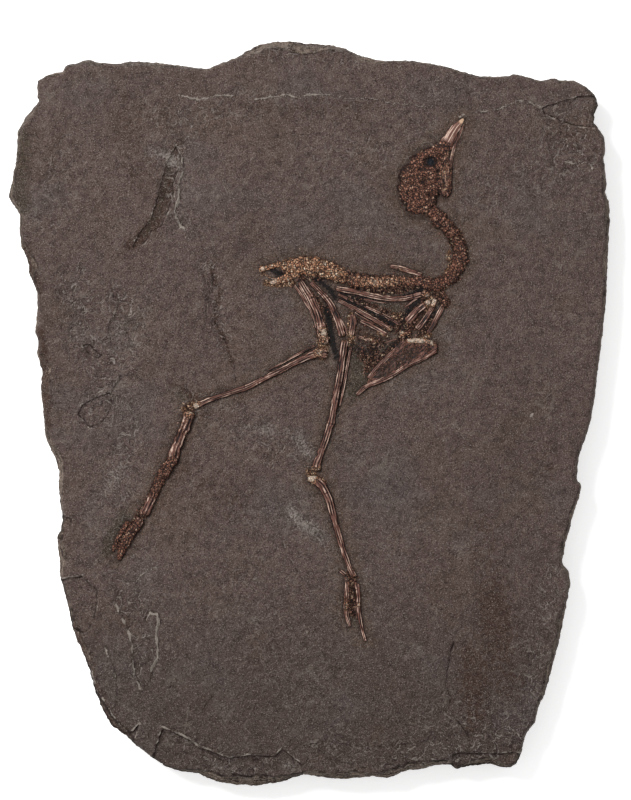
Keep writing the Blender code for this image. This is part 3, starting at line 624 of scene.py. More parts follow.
def outlineRun():
    # the slab's furthest reach, read from the proudest layer of the CAD slab and roughened
    bm = bmesh.new()
    bm.from_mesh(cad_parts["slab"].data)
    bmesh.ops.remove_doubles(bm, verts=bm.verts, dist=0.01 * mm)
    level = slabLow.z + slabLook["furthest"] * (slabHigh.z - slabLow.z)
    ring = {v for v in bm.verts if abs(v.co.z - level) < 0.05 * mm}
    walk = [min(ring, key=lambda v: v.index)]
    while True:
        ways = [e.other_vert(walk[-1]) for e in walk[-1].link_edges]
        ways = [v for v in ways if v in ring and v not in walk[-2:]]
        if not ways or (len(walk) > 2 and walk[0] in ways):
            break
        walk.append(ways[0])
    corners = [((v.co.x - slabLow.x) / mm + planLeft, (slabHigh.y - v.co.y) / mm + planTop) for v in walk]
    bm.free()
    rim = []
    for (ax, ay), (bx, by) in zip(corners, corners[1:] + corners[:1]):
        length = math.hypot(bx - ax, by - ay)
        count = max(1, round(length / slabLook["outlineStep"]))
        for k in range(count):
            x, y = ax + (bx - ax) * k / count, ay + (by - ay) * k / count
            wander = noise.noise(Vector((x * 0.5, y * 0.5, 3)))
            wander += 0.6 * noise.noise(Vector((x * 1.4, y * 1.4, 8)))
            shift = slabLook["ragged"] * wander
            rim.append((x + (by - ay) / length * shift, y - (bx - ax) / length * shift))
    return rim


def sheetInside(rim, cell, bands):
    # a flat sheet on the drawing's plane, trimmed to the rim and halved in each of the bands
    tree = kdtree.KDTree(len(rim))
    for i, (x, y) in enumerate(rim):
        tree.insert((x, y, 0), i)
    tree.balance()

    def inwardOf(spots):
        away = np.array([tree.find((x, y, 0))[2] for x, y in spots])
        return np.where(insideOf(spots, rim[::2]), away, -away)

    low = np.min(rim, axis=0) - 1.0
    size = np.max(rim, axis=0) + 1.0 - low
    bm = bmesh.new()
    bmesh.ops.create_grid(bm, x_segments=int(size[0] / cell), y_segments=int(size[1] / cell), size=0.5)
    bmesh.ops.scale(bm, verts=bm.verts, vec=(size[0], size[1], 1))
    bmesh.ops.translate(bm, verts=bm.verts, vec=(low[0] + size[0] / 2, low[1] + size[1] / 2, 0))
    for band in bands:
        verts = list(bm.verts)
        spots = np.array([v.co.xy for v in verts])
        busy = {v for v, chosen in zip(verts, band(spots, inwardOf(spots))) if chosen}
        edges = [e for e in bm.edges if e.verts[0] in busy and e.verts[1] in busy]
        bmesh.ops.subdivide_edges(bm, edges=edges, cuts=1, use_grid_fill=True)
    verts = list(bm.verts)
    inward = inwardOf(np.array([v.co.xy for v in verts]))
    bmesh.ops.delete(bm, geom=[v for v, d in zip(verts, inward) if d < -0.1], context="VERTS")
    bmesh.ops.delete(bm, geom=[v for v in bm.verts if not v.link_faces], context="VERTS")
    # corners that hang on by one vertex are cut off
    while True:
        pinched = [v for v in bm.verts if sum(e.is_boundary for e in v.link_edges) > 2]
        if not pinched:
            break
        bmesh.ops.delete(bm, geom=pinched, context="VERTS")
        bmesh.ops.delete(bm, geom=[v for v in bm.verts if not v.link_faces], context="VERTS")
    edge = [v for v in bm.verts if v.is_boundary]
    for v in edge:
        v.co = tree.find((v.co.x, v.co.y, 0))[0]
    bmesh.ops.remove_doubles(bm, verts=edge, dist=0.05)
    nearEdge = {e.other_vert(v) for v in bm.verts if v.is_boundary for e in v.link_edges}
    nearEdge = [v for v in nearEdge if not v.is_boundary]
    for _ in range(2):
        bmesh.ops.smooth_vert(bm, verts=nearEdge, factor=0.5, use_axis_x=True, use_axis_y=True)
    bmesh.ops.triangulate(bm, faces=bm.faces)
    return bm, inwardOf


def rimLoop(bm):
    # the sheet's boundary in order
    start = next(v for v in bm.verts if v.is_boundary)
    loop = [start]
    while True:
        ways = [e.other_vert(loop[-1]) for e in loop[-1].link_edges if e.is_boundary]
        ways = [v for v in ways if v not in loop[-2:]]
        if not ways or (len(loop) > 2 and start in ways):
            return loop
        loop.append(ways[0])


def growWall(bm, rings, wander):
    # takes the boundary down through the rings and closes it flat at the last one
    order = bm.verts.layers.int.new("rimOrder")
    numbers = bm.verts.layers.float
    carried = [layer for layer in numbers.values() if layer.name not in ("side", "fall")]
    side, fall = [numbers.get(name) or numbers.new(name) for name in ("side", "fall")]
    loop = rimLoop(bm)
    for i, v in enumerate(loop):
        v[order] = i
    rough = np.array([v.co.xy for v in loop])
    area = np.sum(rough[:, 0] * np.roll(rough[:, 1], -1) - rough[:, 1] * np.roll(rough[:, 0], -1))
    calm = sum(np.roll(rough, k, axis=0) for k in range(-5, 6)) / 11
    along = np.roll(calm, -3, axis=0) - np.roll(calm, 3, axis=0)
    along /= np.maximum(np.hypot(along[:, 0], along[:, 1]), 1e-6)[:, None]
    into = np.stack([-along[:, 1], along[:, 0]], axis=1) * math.copysign(1.0, area)
    edges = [e for e in bm.edges if e.is_boundary]
    for level, (depth, setback, ragged) in enumerate(rings):
        grown = bmesh.ops.extrude_edge_only(bm, edges=edges)["geom"]
        edges = [g for g in grown if isinstance(g, bmesh.types.BMEdge) and g.is_boundary]
        last = level == len(rings) - 1
        for v in (g for g in grown if isinstance(g, bmesh.types.BMVert)):
            i = v[order]
            x, y = rough[i]
            wave = noise.noise(Vector((x * 0.22, y * 0.22, level * 3.1)))
            wave += 0.6 * noise.noise(Vector((x * 0.9, y * 0.9, level * 5.7)))
            spot = calm[i] + (rough[i] - calm[i]) * ragged + into[i] * (setback + wander * wave)
            tilt = 0.0 if last else 0.8 * wander * noise.noise(Vector((x * 0.06, y * 0.06, level * 2.3)))
            v.co = (spot[0], spot[1], -depth + tilt)
            for layer in carried:
                v[layer] *= 0.7
            v[side] = 1.0
            v[fall] = depth
    bmesh.ops.contextual_create(bm, geom=edges)
    bmesh.ops.triangulate(bm, faces=bm.faces)
    bm.verts.layers.int.remove(order)


def strokesOver(points, strokes):
    total = np.zeros(len(points))
    for strength, width, run in strokes:
        total += strength * bell(nearest(points, segmentsOf([run]))[0], width)
    return total


def faceHeight(points, inward, near):
    # the face's height in mm, how chalky it is, where painted shade goes into its clefts, where it is broken
    # off, and how far down
    calm = smoothstep(2.0, 24.0, near)
    broad = noiseAt(points, 62, 1) + 0.5 * noiseAt(points, 24, 2)
    height = slabLook["swell"] * broad * (0.25 + 0.75 * calm)
    height += 0.16 * noiseAt(points, 7, 4) + 0.1 * noiseAt(points, 2.6, 5)
    crust = strokesOver(points, crusts["tan"]) + strokesOver(points, crusts["umber"])
    crust = smoothstep(0.25, 0.7, crust + 0.35 * noiseAt(points, 1.8, 31))
    height += crust * (0.45 + 0.45 * grainsAt(points, 1.5, 33) + 0.3 * noiseAt(points, 4.0, 32))
    height -= 0.3 * bell(near - 0.3, 0.5) * (1 - crust)
    chalk = np.zeros(len(points))
    # painted shade in the cracks, along the flakes' edges, at the ledges' feet and where the rim breaks off
    cleftShade = np.zeros(len(points))
    for depth, loop in flakes:
        d, _ = nearest(points, segmentsOf([loop + loop[:1]]))
        d = np.where(insideOf(points, loop), d, -d) + 0.5 * noiseAt(points, 2.2, 7)
        drop = 0.75 * smoothstep(-0.1, 0.5, d) + 0.25 * smoothstep(0.8, 1.6, d)
        height -= slabLook["flakeDepth"] * depth * drop
        cleftShade += 0.9 * bell(d - 0.35, 0.45) * patchesAt(points, 0.95, 3.4, 19)
        chalk += (0.45 + 0.55 * depth) * bell(d + 0.3, 0.45) * patchesAt(points, 0.5, 3.0, 9)
    for depth, width, pale, run in cracks:
        d, side = nearest(points, segmentsOf([run]))
        across = d * side + 0.45 * noiseAt(points, 2.0, 12)
        gap = np.clip(0.55 + 0.75 * noiseAt(points, 4.0, 11), 0.15, 1)
        height -= slabLook["crackDepth"] * depth * gap * bell(across, width)
        cleftShade += min(0.5 + 1.2 * depth, 1.1) * gap * bell(across, 0.42)
        chalk += 1.9 * pale * gap * bell(across + 0.45, 0.5)
    for rise, reach, pale, run in ledges:
        d, side = nearest(points, segmentsOf([run]))
        across = d * side + 0.6 * noiseAt(points, 2.4, 13)
        ends = np.exp(-np.maximum(d - np.abs(across) - 0.8, 0))
        slope = np.exp(-np.maximum(across, 0) / reach)
        height += slabLook["ledgeRise"] * rise * smoothstep(-0.2, 0.25, across) * slope * ends
        height -= 0.7 * rise * bell(across + 0.45, 0.5)
        cleftShade += (0.4 + rise) * bell(across + 0.6, 0.42) * patchesAt(points, 0.8, 4, 20)
        chalk += 1.8 * pale * bell(across - 0.1, 0.5) * patchesAt(points, 0.6, 5, 15)
    bank = slabLook["setback"] + 0.7 * noiseAt(points, 5.0, 16)
    for x, y, reach, width in wideBreaks:
        away = np.hypot(points[:, 0] - x, points[:, 1] - y) / reach
        bank += width * np.clip(1 - away ** 2, 0, 1) ** 2
    bank = np.maximum(bank * (1 + 0.6 * noiseAt(points, 9.0, 17)), 0.35)
    fall = np.clip(1 - inward / bank, 0, 1)
    cleftShade += 0.9 * bell(inward - bank + 0.3, 0.55) * patchesAt(points, 0.75, 4.0, 21)
    leaf = slabLook["bankLeaves"] * fall + 0.5 * noiseAt(points, 1.8, 18)
    leaf = (np.floor(leaf) + smoothstep(0.55, 1.0, leaf - np.floor(leaf))) / slabLook["bankLeaves"]
    fallen = 0.75 * leaf + 0.25 * fall
    height -= slabLook["bankDrop"] * np.clip(fallen, 0, 1) * (fall > 0)
    return height, chalk, cleftShade, smoothstep(0.02, 0.25, fall), slabLook["bankDrop"] * fallen


def buildSlab(boneRuns):
    loops = [loop + loop[:1] for _, loop in flakes]
    busyLines = segmentsOf([crack[3] for crack in cracks + ledges] + loops)
    crustStrokes = [stroke for strokes in crusts.values() for stroke in strokes]
    crustLines = [(max(width, slabLook["onCrust"]), segmentsOf([run])) for _, width, run in crustStrokes]
    bigBreaks = [(x, y, reach) for x, y, reach, width in wideBreaks if width > slabLook["bigBreak"]]

    def isBroken(spots):
        broken = np.zeros(len(spots), bool)
        for x, y, reach in bigBreaks:
            broken |= np.hypot(spots[:, 0] - x, spots[:, 1] - y) < reach
        return broken

    def busy(spots, inward):
        near = nearest(spots, busyLines)[0] < slabLook["nearLine"]
        near |= boneEdge(spots, boneRuns) < slabLook["nearBone"]
        return near | (np.abs(inward) < np.where(isBroken(spots), slabLook["nearBreak"], slabLook["nearRim"]))

    def busiest(spots, inward):
        fine = nearest(spots, busyLines)[0] < slabLook["onLine"]
        fine |= (np.abs(inward) < slabLook["onBreak"]) & isBroken(spots)
        for width, lines in crustLines:
            fine |= nearest(spots, lines)[0] < width
        return fine

    bm, inwardOf = sheetInside(outlineRun(), slabLook["cell"], [busy, busiest])
    # a little jitter hides the sheet's regular cells
    for v in bm.verts:
        if not v.is_boundary:
            reach = slabLook["jitter"] * min(e.calc_length() for e in v.link_edges)
            v.co.x += reach * random.uniform(-1, 1)
            v.co.y += reach * random.uniform(-1, 1)
    spots = np.array([v.co.xy for v in bm.verts])
    near = boneEdge(spots, boneRuns)
    height, chalk, cleftShade, broken, fallen = faceHeight(spots, inwardOf(spots), near)
    raiseTo(bm.verts, height)
    layers = {name: strokesOver(spots, strokes) for name, strokes in {**marks, **crusts}.items()}
    layers["chalk"] += chalk
    layers["cleftShade"] = cleftShade
    layers["halo"] = bell(np.maximum(near, 0), slabLook["haloReach"])
    # painted contact shade, partly a dark film, in a thin line where the bones meet the face
    layers["contactShade"] = bell(np.maximum(near, 0), slabLook["contactShadeReach"])
    layers["rough"] = np.clip(strokesOver(spots, roughs), 0, 1)
    layers["side"] = broken
    layers["fall"] = fallen
    for name, numbers in layers.items():
        writeLayer(bm, bm.verts, name, numbers)
    growWall(bm, wallRings, slabLook["wallWander"])
    piece = addPiece("shaleSlab", bm, "shale", "slab")
    print("slab:", len(piece.data.polygons), "faces")
    return lambda points: faceHeight(points, inwardOf(points), boneEdge(points, boneRuns))[0]


shaleLook = {
    "ground": [(110, 92, 87), (93, 77, 72)],  # in broad patches
    "wall": [(48, 34, 29), (160, 143, 128)],  # dark and pale layers in the broken edge
    # crusts of rotten bone: the gaps between granules, then the granules from dark to bright
    "umber": [(30, 20, 17), (62, 41, 34), (98, 69, 57), (142, 110, 92), (188, 164, 140)],
    "tan": [(46, 30, 24), (98, 69, 52), (142, 106, 82), (188, 156, 128), (226, 206, 182)],
}

# Tones laid over the shale one after the other: how much of each is laid, and the tone.
shaleTones = {
    "lowEnd": (0.75, (78, 66, 61)),
    "bluish": (0.5, (98, 91, 89)),
    "warm": (0.3, (100, 79, 64)),
    "halo": (0.5, (92, 74, 60)),
    "brown": (0.9, (74, 54, 46)),
    "green": (0.85, (72, 66, 54)),
    "dust": (0.4, (114, 103, 98)),
    "whiteDust": (0.72, (160, 151, 144)),
    "darkMottle": (0.45, (62, 50, 46)),
    "paleMottle": (0.35, (128, 116, 110)),
    "coarseLight": (0.1, (136, 122, 114)),
    "coarseDark": (0.12, (60, 48, 44)),
    "grainLight": (0.85, (156, 143, 135)),
    "flourLight": (0.7, (164, 152, 144)),
    "grainDark": (0.75, (42, 32, 29)),
    "flourDark": (0.5, (44, 34, 31)),
    # painted highlight on the small flakes' edges
    "flakeEdge": (0.7, (164, 154, 146)),
    # painted shade at the small flakes' feet and in little folds
    "flakeFootShade": (1.0, (44, 33, 30)),
    # painted shade in the clefts
    "cleftShade": (0.85, (34, 24, 21)),
    # painted contact shade round the bones, partly a dark film
    "contactShade": (0.55, (46, 32, 28)),
    "black": (0.95, (33, 30, 31)),
    # painted highlight on the edges of the larger leaves
    "leafEdge": (0.3, (140, 130, 120)),
    "chalk": (0.8, (172, 162, 152)),
}


def makeShale():
    material, tree, shader, spot = newMaterial("oilShale", 0.8, 0.1)
    grain = useGroup(tree, grainGroup, Vector=spot, Size=0.7, Seed=1.0)
    flour = useGroup(tree, grainGroup, Vector=spot, Size=0.55, Seed=5.0)
    coarse = useGroup(tree, grainGroup, Vector=spot, Size=3.2, Seed=2.0)
    granules = useGroup(tree, granuleGroup, Vector=spot, Size=1.3)
    leaves = useGroup(tree, leafGroup, Vector=spot, Size=26.0, Count=9.0)
    flakelets = useGroup(tree, leafGroup, Vector=spot, Size=6.0, Count=4.5)
    rough = mathOf(tree, "MAXIMUM", attributeOf(tree, "rough"), times(tree, attributeOf(tree, "dust"), 0.8))
    side = attributeOf(tree, "side")
    right, up, _ = addNode(tree, "ShaderNodeSeparateXYZ", {0: spot}).outputs
    color = mixColor(tree, noiseOf(tree, spot, 70, 2), *tints(*shaleLook["ground"]))

    def paint(name, mask):
        # lays a tone over the colour so far
        nonlocal color
        share, tone = shaleTones[name]
        color = mixColor(tree, times(tree, mask, share), color, tint(*tone))

    def stain(name, layer, low, high, size):
        # lays a tone where an attribute's soft strokes are, broken up by noise
        crisp = times(tree, swingOf(tree, spot, size, 5, 0.75, low * 9 + size), 2.6)
        cover = fadeOf(tree, plus(tree, attributeOf(tree, layer), crisp), low, high)
        paint(name, times(tree, cover, fadeOf(tree, attributeOf(tree, layer), 0.0, 0.2)))

    paint("lowEnd", fadeOf(tree, up, -60, -150))
    paint("bluish", fadeOf(tree, noiseOf(tree, spot, 48, 3, seed=4), 0.48, 0.75))
    paint("warm", fadeOf(tree, noiseOf(tree, spot, 27, 4, seed=7), 0.5, 0.72))

    # the rim and the wall show the shale's layers as bands
    places = {0: times(tree, right, 0.1), 1: times(tree, up, 0.1)}
    places[2] = times(tree, attributeOf(tree, "fall"), 1.6)
    layered = addNode(tree, "ShaderNodeCombineXYZ", places).outputs[0]
    banded = noiseOf(tree, layered, 1.0, 5, 0.75, seed=5)
    wall = mixColor(tree, fadeOf(tree, banded, 0.44, 0.56), *tints(*shaleLook["wall"]))
    color = mixColor(tree, times(tree, side, 0.9), color, wall)

    stain("halo", "halo", 0.3, 0.9, 5.0)
    stain("brown", "brown", 0.15, 0.8, 2.4)
    stain("green", "green", 0.1, 0.8, 1.6)
    stain("dust", "dust", 0.1, 0.9, 3.0)
    stain("whiteDust", "dust", 0.76, 0.95, 1.1)
    mottle = noiseOf(tree, spot, 5.0, 5, 0.7, seed=9)
    paint("darkMottle", fadeOf(tree, mottle, 0.47, 0.62))
    paint("paleMottle", fadeOf(tree, mottle, 0.44, 0.34))
    paint("coarseLight", coarse["Light"])
    paint("coarseDark", coarse["Dark"])
    paint("grainLight", grain["Light"])
    paint("flourLight", flour["Light"])
    paint("grainDark", grain["Dark"])
    paint("flourDark", flour["Dark"])

    # small flakes with painted highlights on their edges and painted shade at their feet, painted shade in
    # little folds, and painted shade in clefts
    paint("flakeEdge", times(tree, flakelets["Edge"], rough))
    folded = plus(tree, times(tree, rough, 0.65), 0.35)
    folded = times(tree, folded, fadeOf(tree, noiseOf(tree, spot, 9.0, 3, seed=23), 0.5, 0.62))
    folds = mathOf(tree, "ABSOLUTE", swingOf(tree, spot, 7.0, 4, 0.6, 22))
    folded = times(tree, folded, fadeOf(tree, folds, 0.028, 0.0))
    shaded = times(tree, times(tree, flakelets["ShadedFoot"], rough), 0.6)
    paint("flakeFootShade", mathOf(tree, "MAXIMUM", shaded, times(tree, folded, 0.7)))
    # painted shade in the clefts
    paint("cleftShade", fadeOf(tree, attributeOf(tree, "cleftShade"), 0.15, 0.9))

    # the dark line round the bones, painted contact shade that also stands for a dark film, then crusts of
    # rotten bone, the black film and chalk
    paint("contactShade", attributeOf(tree, "contactShade"))
    ragged = swingOf(tree, spot, 1.6, 3, 0.7, 14)
    crusted = 0.0
    for layer in ("umber", "tan"):
        crust = fadeOf(tree, plus(tree, attributeOf(tree, layer), ragged), 0.3, 0.6)
        color = mixColor(tree, crust, color, granuleColor(tree, granules, *tints(*shaleLook[layer])))
        crusted = mathOf(tree, "MAXIMUM", crusted, crust)
    stain("black", "black", 0.25, 0.65, 1.0)
    patches = fadeOf(tree, noiseOf(tree, spot, 20, 2, seed=3), 0.5, 0.65)
    # painted highlight on the edges of the larger leaves, in patches
    paint("leafEdge", times(tree, leaves["Edge"], patches))
    chalky = plus(tree, attributeOf(tree, "chalk"), swingOf(tree, spot, 0.9, 3, 0.7, 6))
    paint("chalk", fadeOf(tree, chalky, 0.35, 0.7))

    rock = noiseOf(tree, spot, 6.0, 3, 0.6, seed=21, bend=0.8)
    streaks = noiseOf(tree, stretched(tree, spot, 1.6, 0.07, 1.0), 1.0, 3, 0.6, seed=8)
    setSurface(tree, shader, color, sumOf(tree, [
        (grain["Height"], 0.28),
        (coarse["Height"], 0.25),
        (times(tree, crusted, granules["Height"]), 0.45),
        (leaves["Height"], 0.16),
        (times(tree, flakelets["Height"], rough), 0.6),
        (rock, 1.1),
        (times(tree, rock, rough), 1.6),
        (folded, -0.3),
        (times(tree, streaks, fadeOf(tree, right, 60, 95)), 0.5),
        (times(tree, banded, side), 1.4),
    ]))
    return material


# Bones: each run goes from the end nearer the body, or nearer the head, as (x, y, half width).

boneLook = {
    "pace": 0.42,  # mm between a bone's rings
    "sink": 0.9,  # how deep a bone sits in the shale, mm
    "flatness": 0.72,  # a shaft's height as a share of its half width
    "end": 0.6,  # how far its ends round off, as a share of its half width
    "ragged": 0.28,  # how much its half width wanders
    "thin": 1.3,  # half width, mm, up to which a bone needs only few vertices around it
    "thinAround": 20,
}

skullRun = [
    (209.6, 103.3, 6.4), (209.5, 101.4, 8.2), (209.0, 97.0, 10.2), (210.1, 91.8, 10.9), (212.3, 86.3, 10.2),
    (215.3, 81.3, 8.5), (218.7, 77.7, 6.1), (222, 74.4, 3.9), (224, 70.7, 3.1), (226.1, 66.8, 2.7),
    (228.2, 63.6, 2.0), (230.4, 61.1, 1.1), (231.6, 59.5, 0.5),
]
jawRun = [
    (222.5, 97.4, 2.0), (223.4, 95.8, 2.3), (224.2, 92.0, 1.9), (224.8, 87.0, 1.4), (225.3, 82.0, 1.0),
    (226.1, 77.5, 0.8), (227.5, 72.8, 0.7), (229.3, 68.8, 0.7), (230.6, 65.6, 0.6), (232.0, 62.3, 0.4),
]
neckRun = [
    (217.2, 106.4, 3.2), (219.4, 109.4, 3.6), (223, 112.8, 3.2), (226.4, 116.2, 3.0), (228.4, 120, 2.6),
    (230, 124, 3.4), (230.4, 128.6, 3.7), (228.4, 133.8, 3.5), (225.5, 138.4, 3.4), (221.6, 141.4, 3.0),
    (217.6, 142.4, 2.8), (213.2, 141.8, 2.7),
]
backRun = [
    (177.4, 140.4, 3.0), (181.6, 140.9, 3.0), (186, 141, 3.1), (191, 141, 3.1), (196, 140.8, 3.0),
    (201, 140.5, 2.8), (208.6, 140.6, 2.5),
]
tailRun = [(131.2, 134.4, 1.5), (133.5, 133.9, 1.3), (136.2, 133.1, 1.4), (139, 132.3, 1.6)]
pelvisRun = [
    (142.2, 133.4, 2.8), (144.6, 133.7, 4.4), (147.2, 133.6, 4.5), (150, 133.5, 5.0), (153, 133.3, 4.6),
    (156, 133.5, 4.9), (159, 133.8, 4.6), (162, 134.6, 4.8), (165, 135.4, 4.4), (167.6, 136.6, 4.5),
    (170, 137.6, 4.0), (172, 138.6, 3.7),
]
ischiumRun = [(148.5, 135.6, 2.4), (143.5, 138.8, 2.2), (139.5, 140.4, 1.8), (135.8, 141.5, 1.2)]
shafts = {
    "scapula": [(195.5, 133.2, 0.9), (200, 134.1, 1.3), (205, 135.6, 1.3), (210.5, 137.2, 1.0)],
    "humerus": [
        (214.2, 146.9, 1.6), (210.5, 147.4, 1.6), (205, 148.7, 1.5), (198.5, 149.6, 1.5), (192, 149, 1.5),
        (185, 147.5, 1.5), (178.5, 146.1, 1.5), (172, 144.9, 1.5), (168.6, 144.3, 1.2),
    ],
    "radius": [
        (169.4, 147.4, 0.8), (177, 150.6, 0.8), (185, 154.3, 0.8), (192.5, 157.9, 0.8),
        (199.3, 161.9, 0.9),
    ],
    "ulna": [
        (169.6, 150.4, 0.9), (175.5, 153.2, 1.1), (182, 156.9, 1.1), (188.5, 160.6, 1.2),
        (195.5, 164.6, 1.3),
    ],
    "wing_hand": [(200, 166.2, 1.2), (202.4, 167, 1.4), (205.2, 166.2, 1.1)],
    "coracoid_near": [(214.4, 150.8, 1.3), (211.3, 153.4, 1.7), (207.5, 156.6, 2.0), (204.2, 160.2, 2.2)],
    "coracoid_far": [
        (217.4, 149.8, 1.1), (216.2, 153.6, 1.4), (213.6, 158, 1.5), (211, 161.6, 1.5), (208.8, 164, 1.5),
    ],
    "furcula": [
        (221.4, 146.6, 1.0), (222.6, 149.8, 1.1), (220.8, 154.2, 1.2), (218.4, 158.8, 1.2),
        (216.6, 162.6, 1.2), (214.4, 166, 1.0),
    ],
    "rib_1": [(180.6, 160.4, 0.9), (187, 163.6, 1.1), (193, 167, 1.0)],
    "rib_2": [(176.4, 157.8, 1.4), (176.6, 161, 1.8), (176.3, 164, 1.8), (175.8, 167, 1.4)],
    "rib_3": [(179.6, 168.4, 0.8), (184.5, 169.8, 0.8), (190, 170, 0.7)],
    "pubis": [(147.3, 142.8, 0.7), (150.2, 146.8, 0.7), (153, 151.6, 0.7), (155.4, 155.2, 0.6)],
    "femur_rear": [
        (150.7, 141.4, 1.8), (152.5, 144.4, 1.8), (155.4, 149, 1.8), (158, 154.6, 1.8), (159.9, 160, 2.1),
        (160.8, 164.6, 2.6), (161.6, 168.6, 2.9), (162, 170.8, 2.6),
    ],
    "tibiotarsus_rear": [
        (162.4, 177, 2.4), (158.8, 176.7, 2.6), (155, 177.9, 1.9), (148.5, 181, 1.5), (140, 185.3, 1.5),
        (131, 189.8, 1.4), (122.5, 194, 1.5), (115, 196.3, 1.3), (106, 199.5, 1.2), (100.5, 201.8, 1.4),
        (97.6, 203.1, 1.6),
    ],
    "fibula_rear": [(157.2, 172.9, 0.6), (150.3, 176.5, 0.6), (142.5, 180.8, 0.5), (134.5, 185.1, 0.4)],
    "tarsometatarsus_rear": [
        (94.6, 207.4, 3.1), (93.3, 211.6, 2.9), (90.8, 217.2, 2.6), (88.3, 223.4, 2.9),
        (86.2, 229.8, 3.0), (82.9, 235, 2.9), (80, 240, 2.6), (77.5, 245.6, 2.3), (75, 251.3, 2.3),
        (72.4, 256.4, 2.6),
    ],
    "toe_rear_1": [
        (69.8, 260.6, 2.7), (66.4, 265.2, 2.5), (63.5, 270, 2.5), (61, 275.4, 2.0), (59.4, 279.6, 1.2),
    ],
    "toe_rear_2": [(63.8, 261, 1.1), (61, 265.6, 1.2), (58.3, 270.6, 1.1), (56.4, 275.4, 0.7)],
    "femur_front": [
        (155.9, 141.6, 1.2), (158.8, 144.6, 1.3), (162.5, 148.4, 1.5), (165.6, 152.8, 1.6),
        (168, 158, 1.7), (169.9, 163.2, 1.8), (171.2, 167, 2.1),
    ],
    "tibiotarsus_front": [
        (172.4, 171.2, 2.1), (171.6, 176, 1.9), (170.6, 183, 1.8), (169.2, 191, 1.8), (167.4, 201, 1.8),
        (165.7, 210, 1.9), (163, 219, 1.8), (160.2, 227, 1.7), (158.7, 231.5, 2.1), (158, 234.2, 2.5),
    ],
    "fibula_front": [
        (175.4, 174, 0.7), (174.6, 178, 0.8), (173.6, 184, 0.8), (172.4, 191, 0.8), (171, 198, 0.6),
        (170, 203, 0.4),
    ],
    "tarsometatarsus_front": [
        (154.6, 239.6, 1.6), (157.2, 239.8, 2.2), (160.1, 241.8, 2.4), (162.5, 245.5, 2.1),
        (164.8, 250.5, 1.9), (166.3, 256.5, 1.8), (169, 266.5, 1.6), (172.2, 276.5, 1.4),
        (175, 284.5, 1.4), (176.8, 288, 1.7),
    ],
    "toe_front_1": [
        (178.5, 292.6, 1.4), (179.2, 298, 1.1), (179.2, 303, 1.2), (180, 309, 1.0), (181.2, 315, 0.9),
        (182.6, 320.2, 0.8),
    ],
    "toe_front_2": [
        (173.6, 291.4, 1.4), (173.4, 297, 1.3), (173.2, 302, 1.4), (173.3, 307.5, 1.2), (175, 313, 0.8),
    ],
    "toe_front_3": [(170.4, 285.6, 0.9), (172.4, 287.2, 1.0)],
}
sternumPlate = [
    (202.2, 170.4), (206.5, 168.7), (212, 169.6), (216, 170.4), (218.6, 172.2), (218.6, 175.2), (210, 180),
    (203, 183), (197, 187.2), (189.5, 190.8), (183, 193.4), (184.6, 188.6), (190, 182), (195, 177),
]
sternumRims = [
    [(217.6, 175.4, 1.3), (211, 179.4, 1.2), (203.6, 182.8, 1.3), (197, 187, 1.3), (189.5, 190.6, 1.3),
     (183.6, 193, 1.2), (180.6, 195.4, 1.2), (178.6, 197.2, 0.9)],
    [(202.4, 170.8, 1.1), (199, 173.8, 1.1), (194, 178.4, 1.1), (189, 183.4, 1.2), (184.6, 188.8, 1.3)],
    [(204, 170.6, 1.3), (208.4, 170.4, 1.4), (213, 170.6, 1.3), (217.8, 172.2, 1.2)],
]

# the face between the skull's side and the lower jaw
cheekRun = [(222.6, 73, 1.8), (221.8, 79, 3.6), (220.8, 86, 4.8), (221, 92, 4.6), (222.6, 96.6, 3.0)]
# thin slips of bone that lie between the named bones
splinters = [
    [(202.5, 153.6, 0.4), (208, 149.6, 0.5), (213.2, 145.6, 0.4)],
    [(204.4, 157.6, 0.35), (209.6, 153.6, 0.45), (212.6, 151, 0.35)],
    [(149.7, 143.6, 0.5), (152.8, 149.4, 0.6), (155.6, 156, 0.6), (157.8, 164.2, 0.5)],
    [(153.6, 143, 0.4), (157.6, 149.6, 0.5), (160.6, 156.6, 0.4)],
    [(174, 147.8, 0.4), (184, 150, 0.5), (193, 151.6, 0.4)],
    [(172.6, 152.4, 0.4), (180, 157.6, 0.5), (187, 162, 0.4)],
    [(206.4, 177.8, 0.4), (199, 182.2, 0.5), (191.6, 187, 0.4)],
    [(170, 159, 0.4), (172.6, 163.6, 0.5), (174, 168, 0.4)],
    [(186.6, 174, 0.4), (192.6, 171.4, 0.5), (198.6, 169.4, 0.4)],
    [(131.6, 136.8, 0.4), (137, 139.4, 0.5), (142, 138.8, 0.4)],
    [(214.6, 172.4, 0.4), (206.6, 175.4, 0.5), (199.6, 178.4, 0.4)],
    [(209, 171.6, 0.4), (202.4, 176, 0.45), (194.6, 181.4, 0.4)],
    [(176.4, 296, 0.5), (177.4, 302, 0.55), (178.4, 309.6, 0.4)],
]
sternumInside = [(206, 176.5), (200, 180), (194, 184), (190, 187)]  # slate shows through the thin plate here

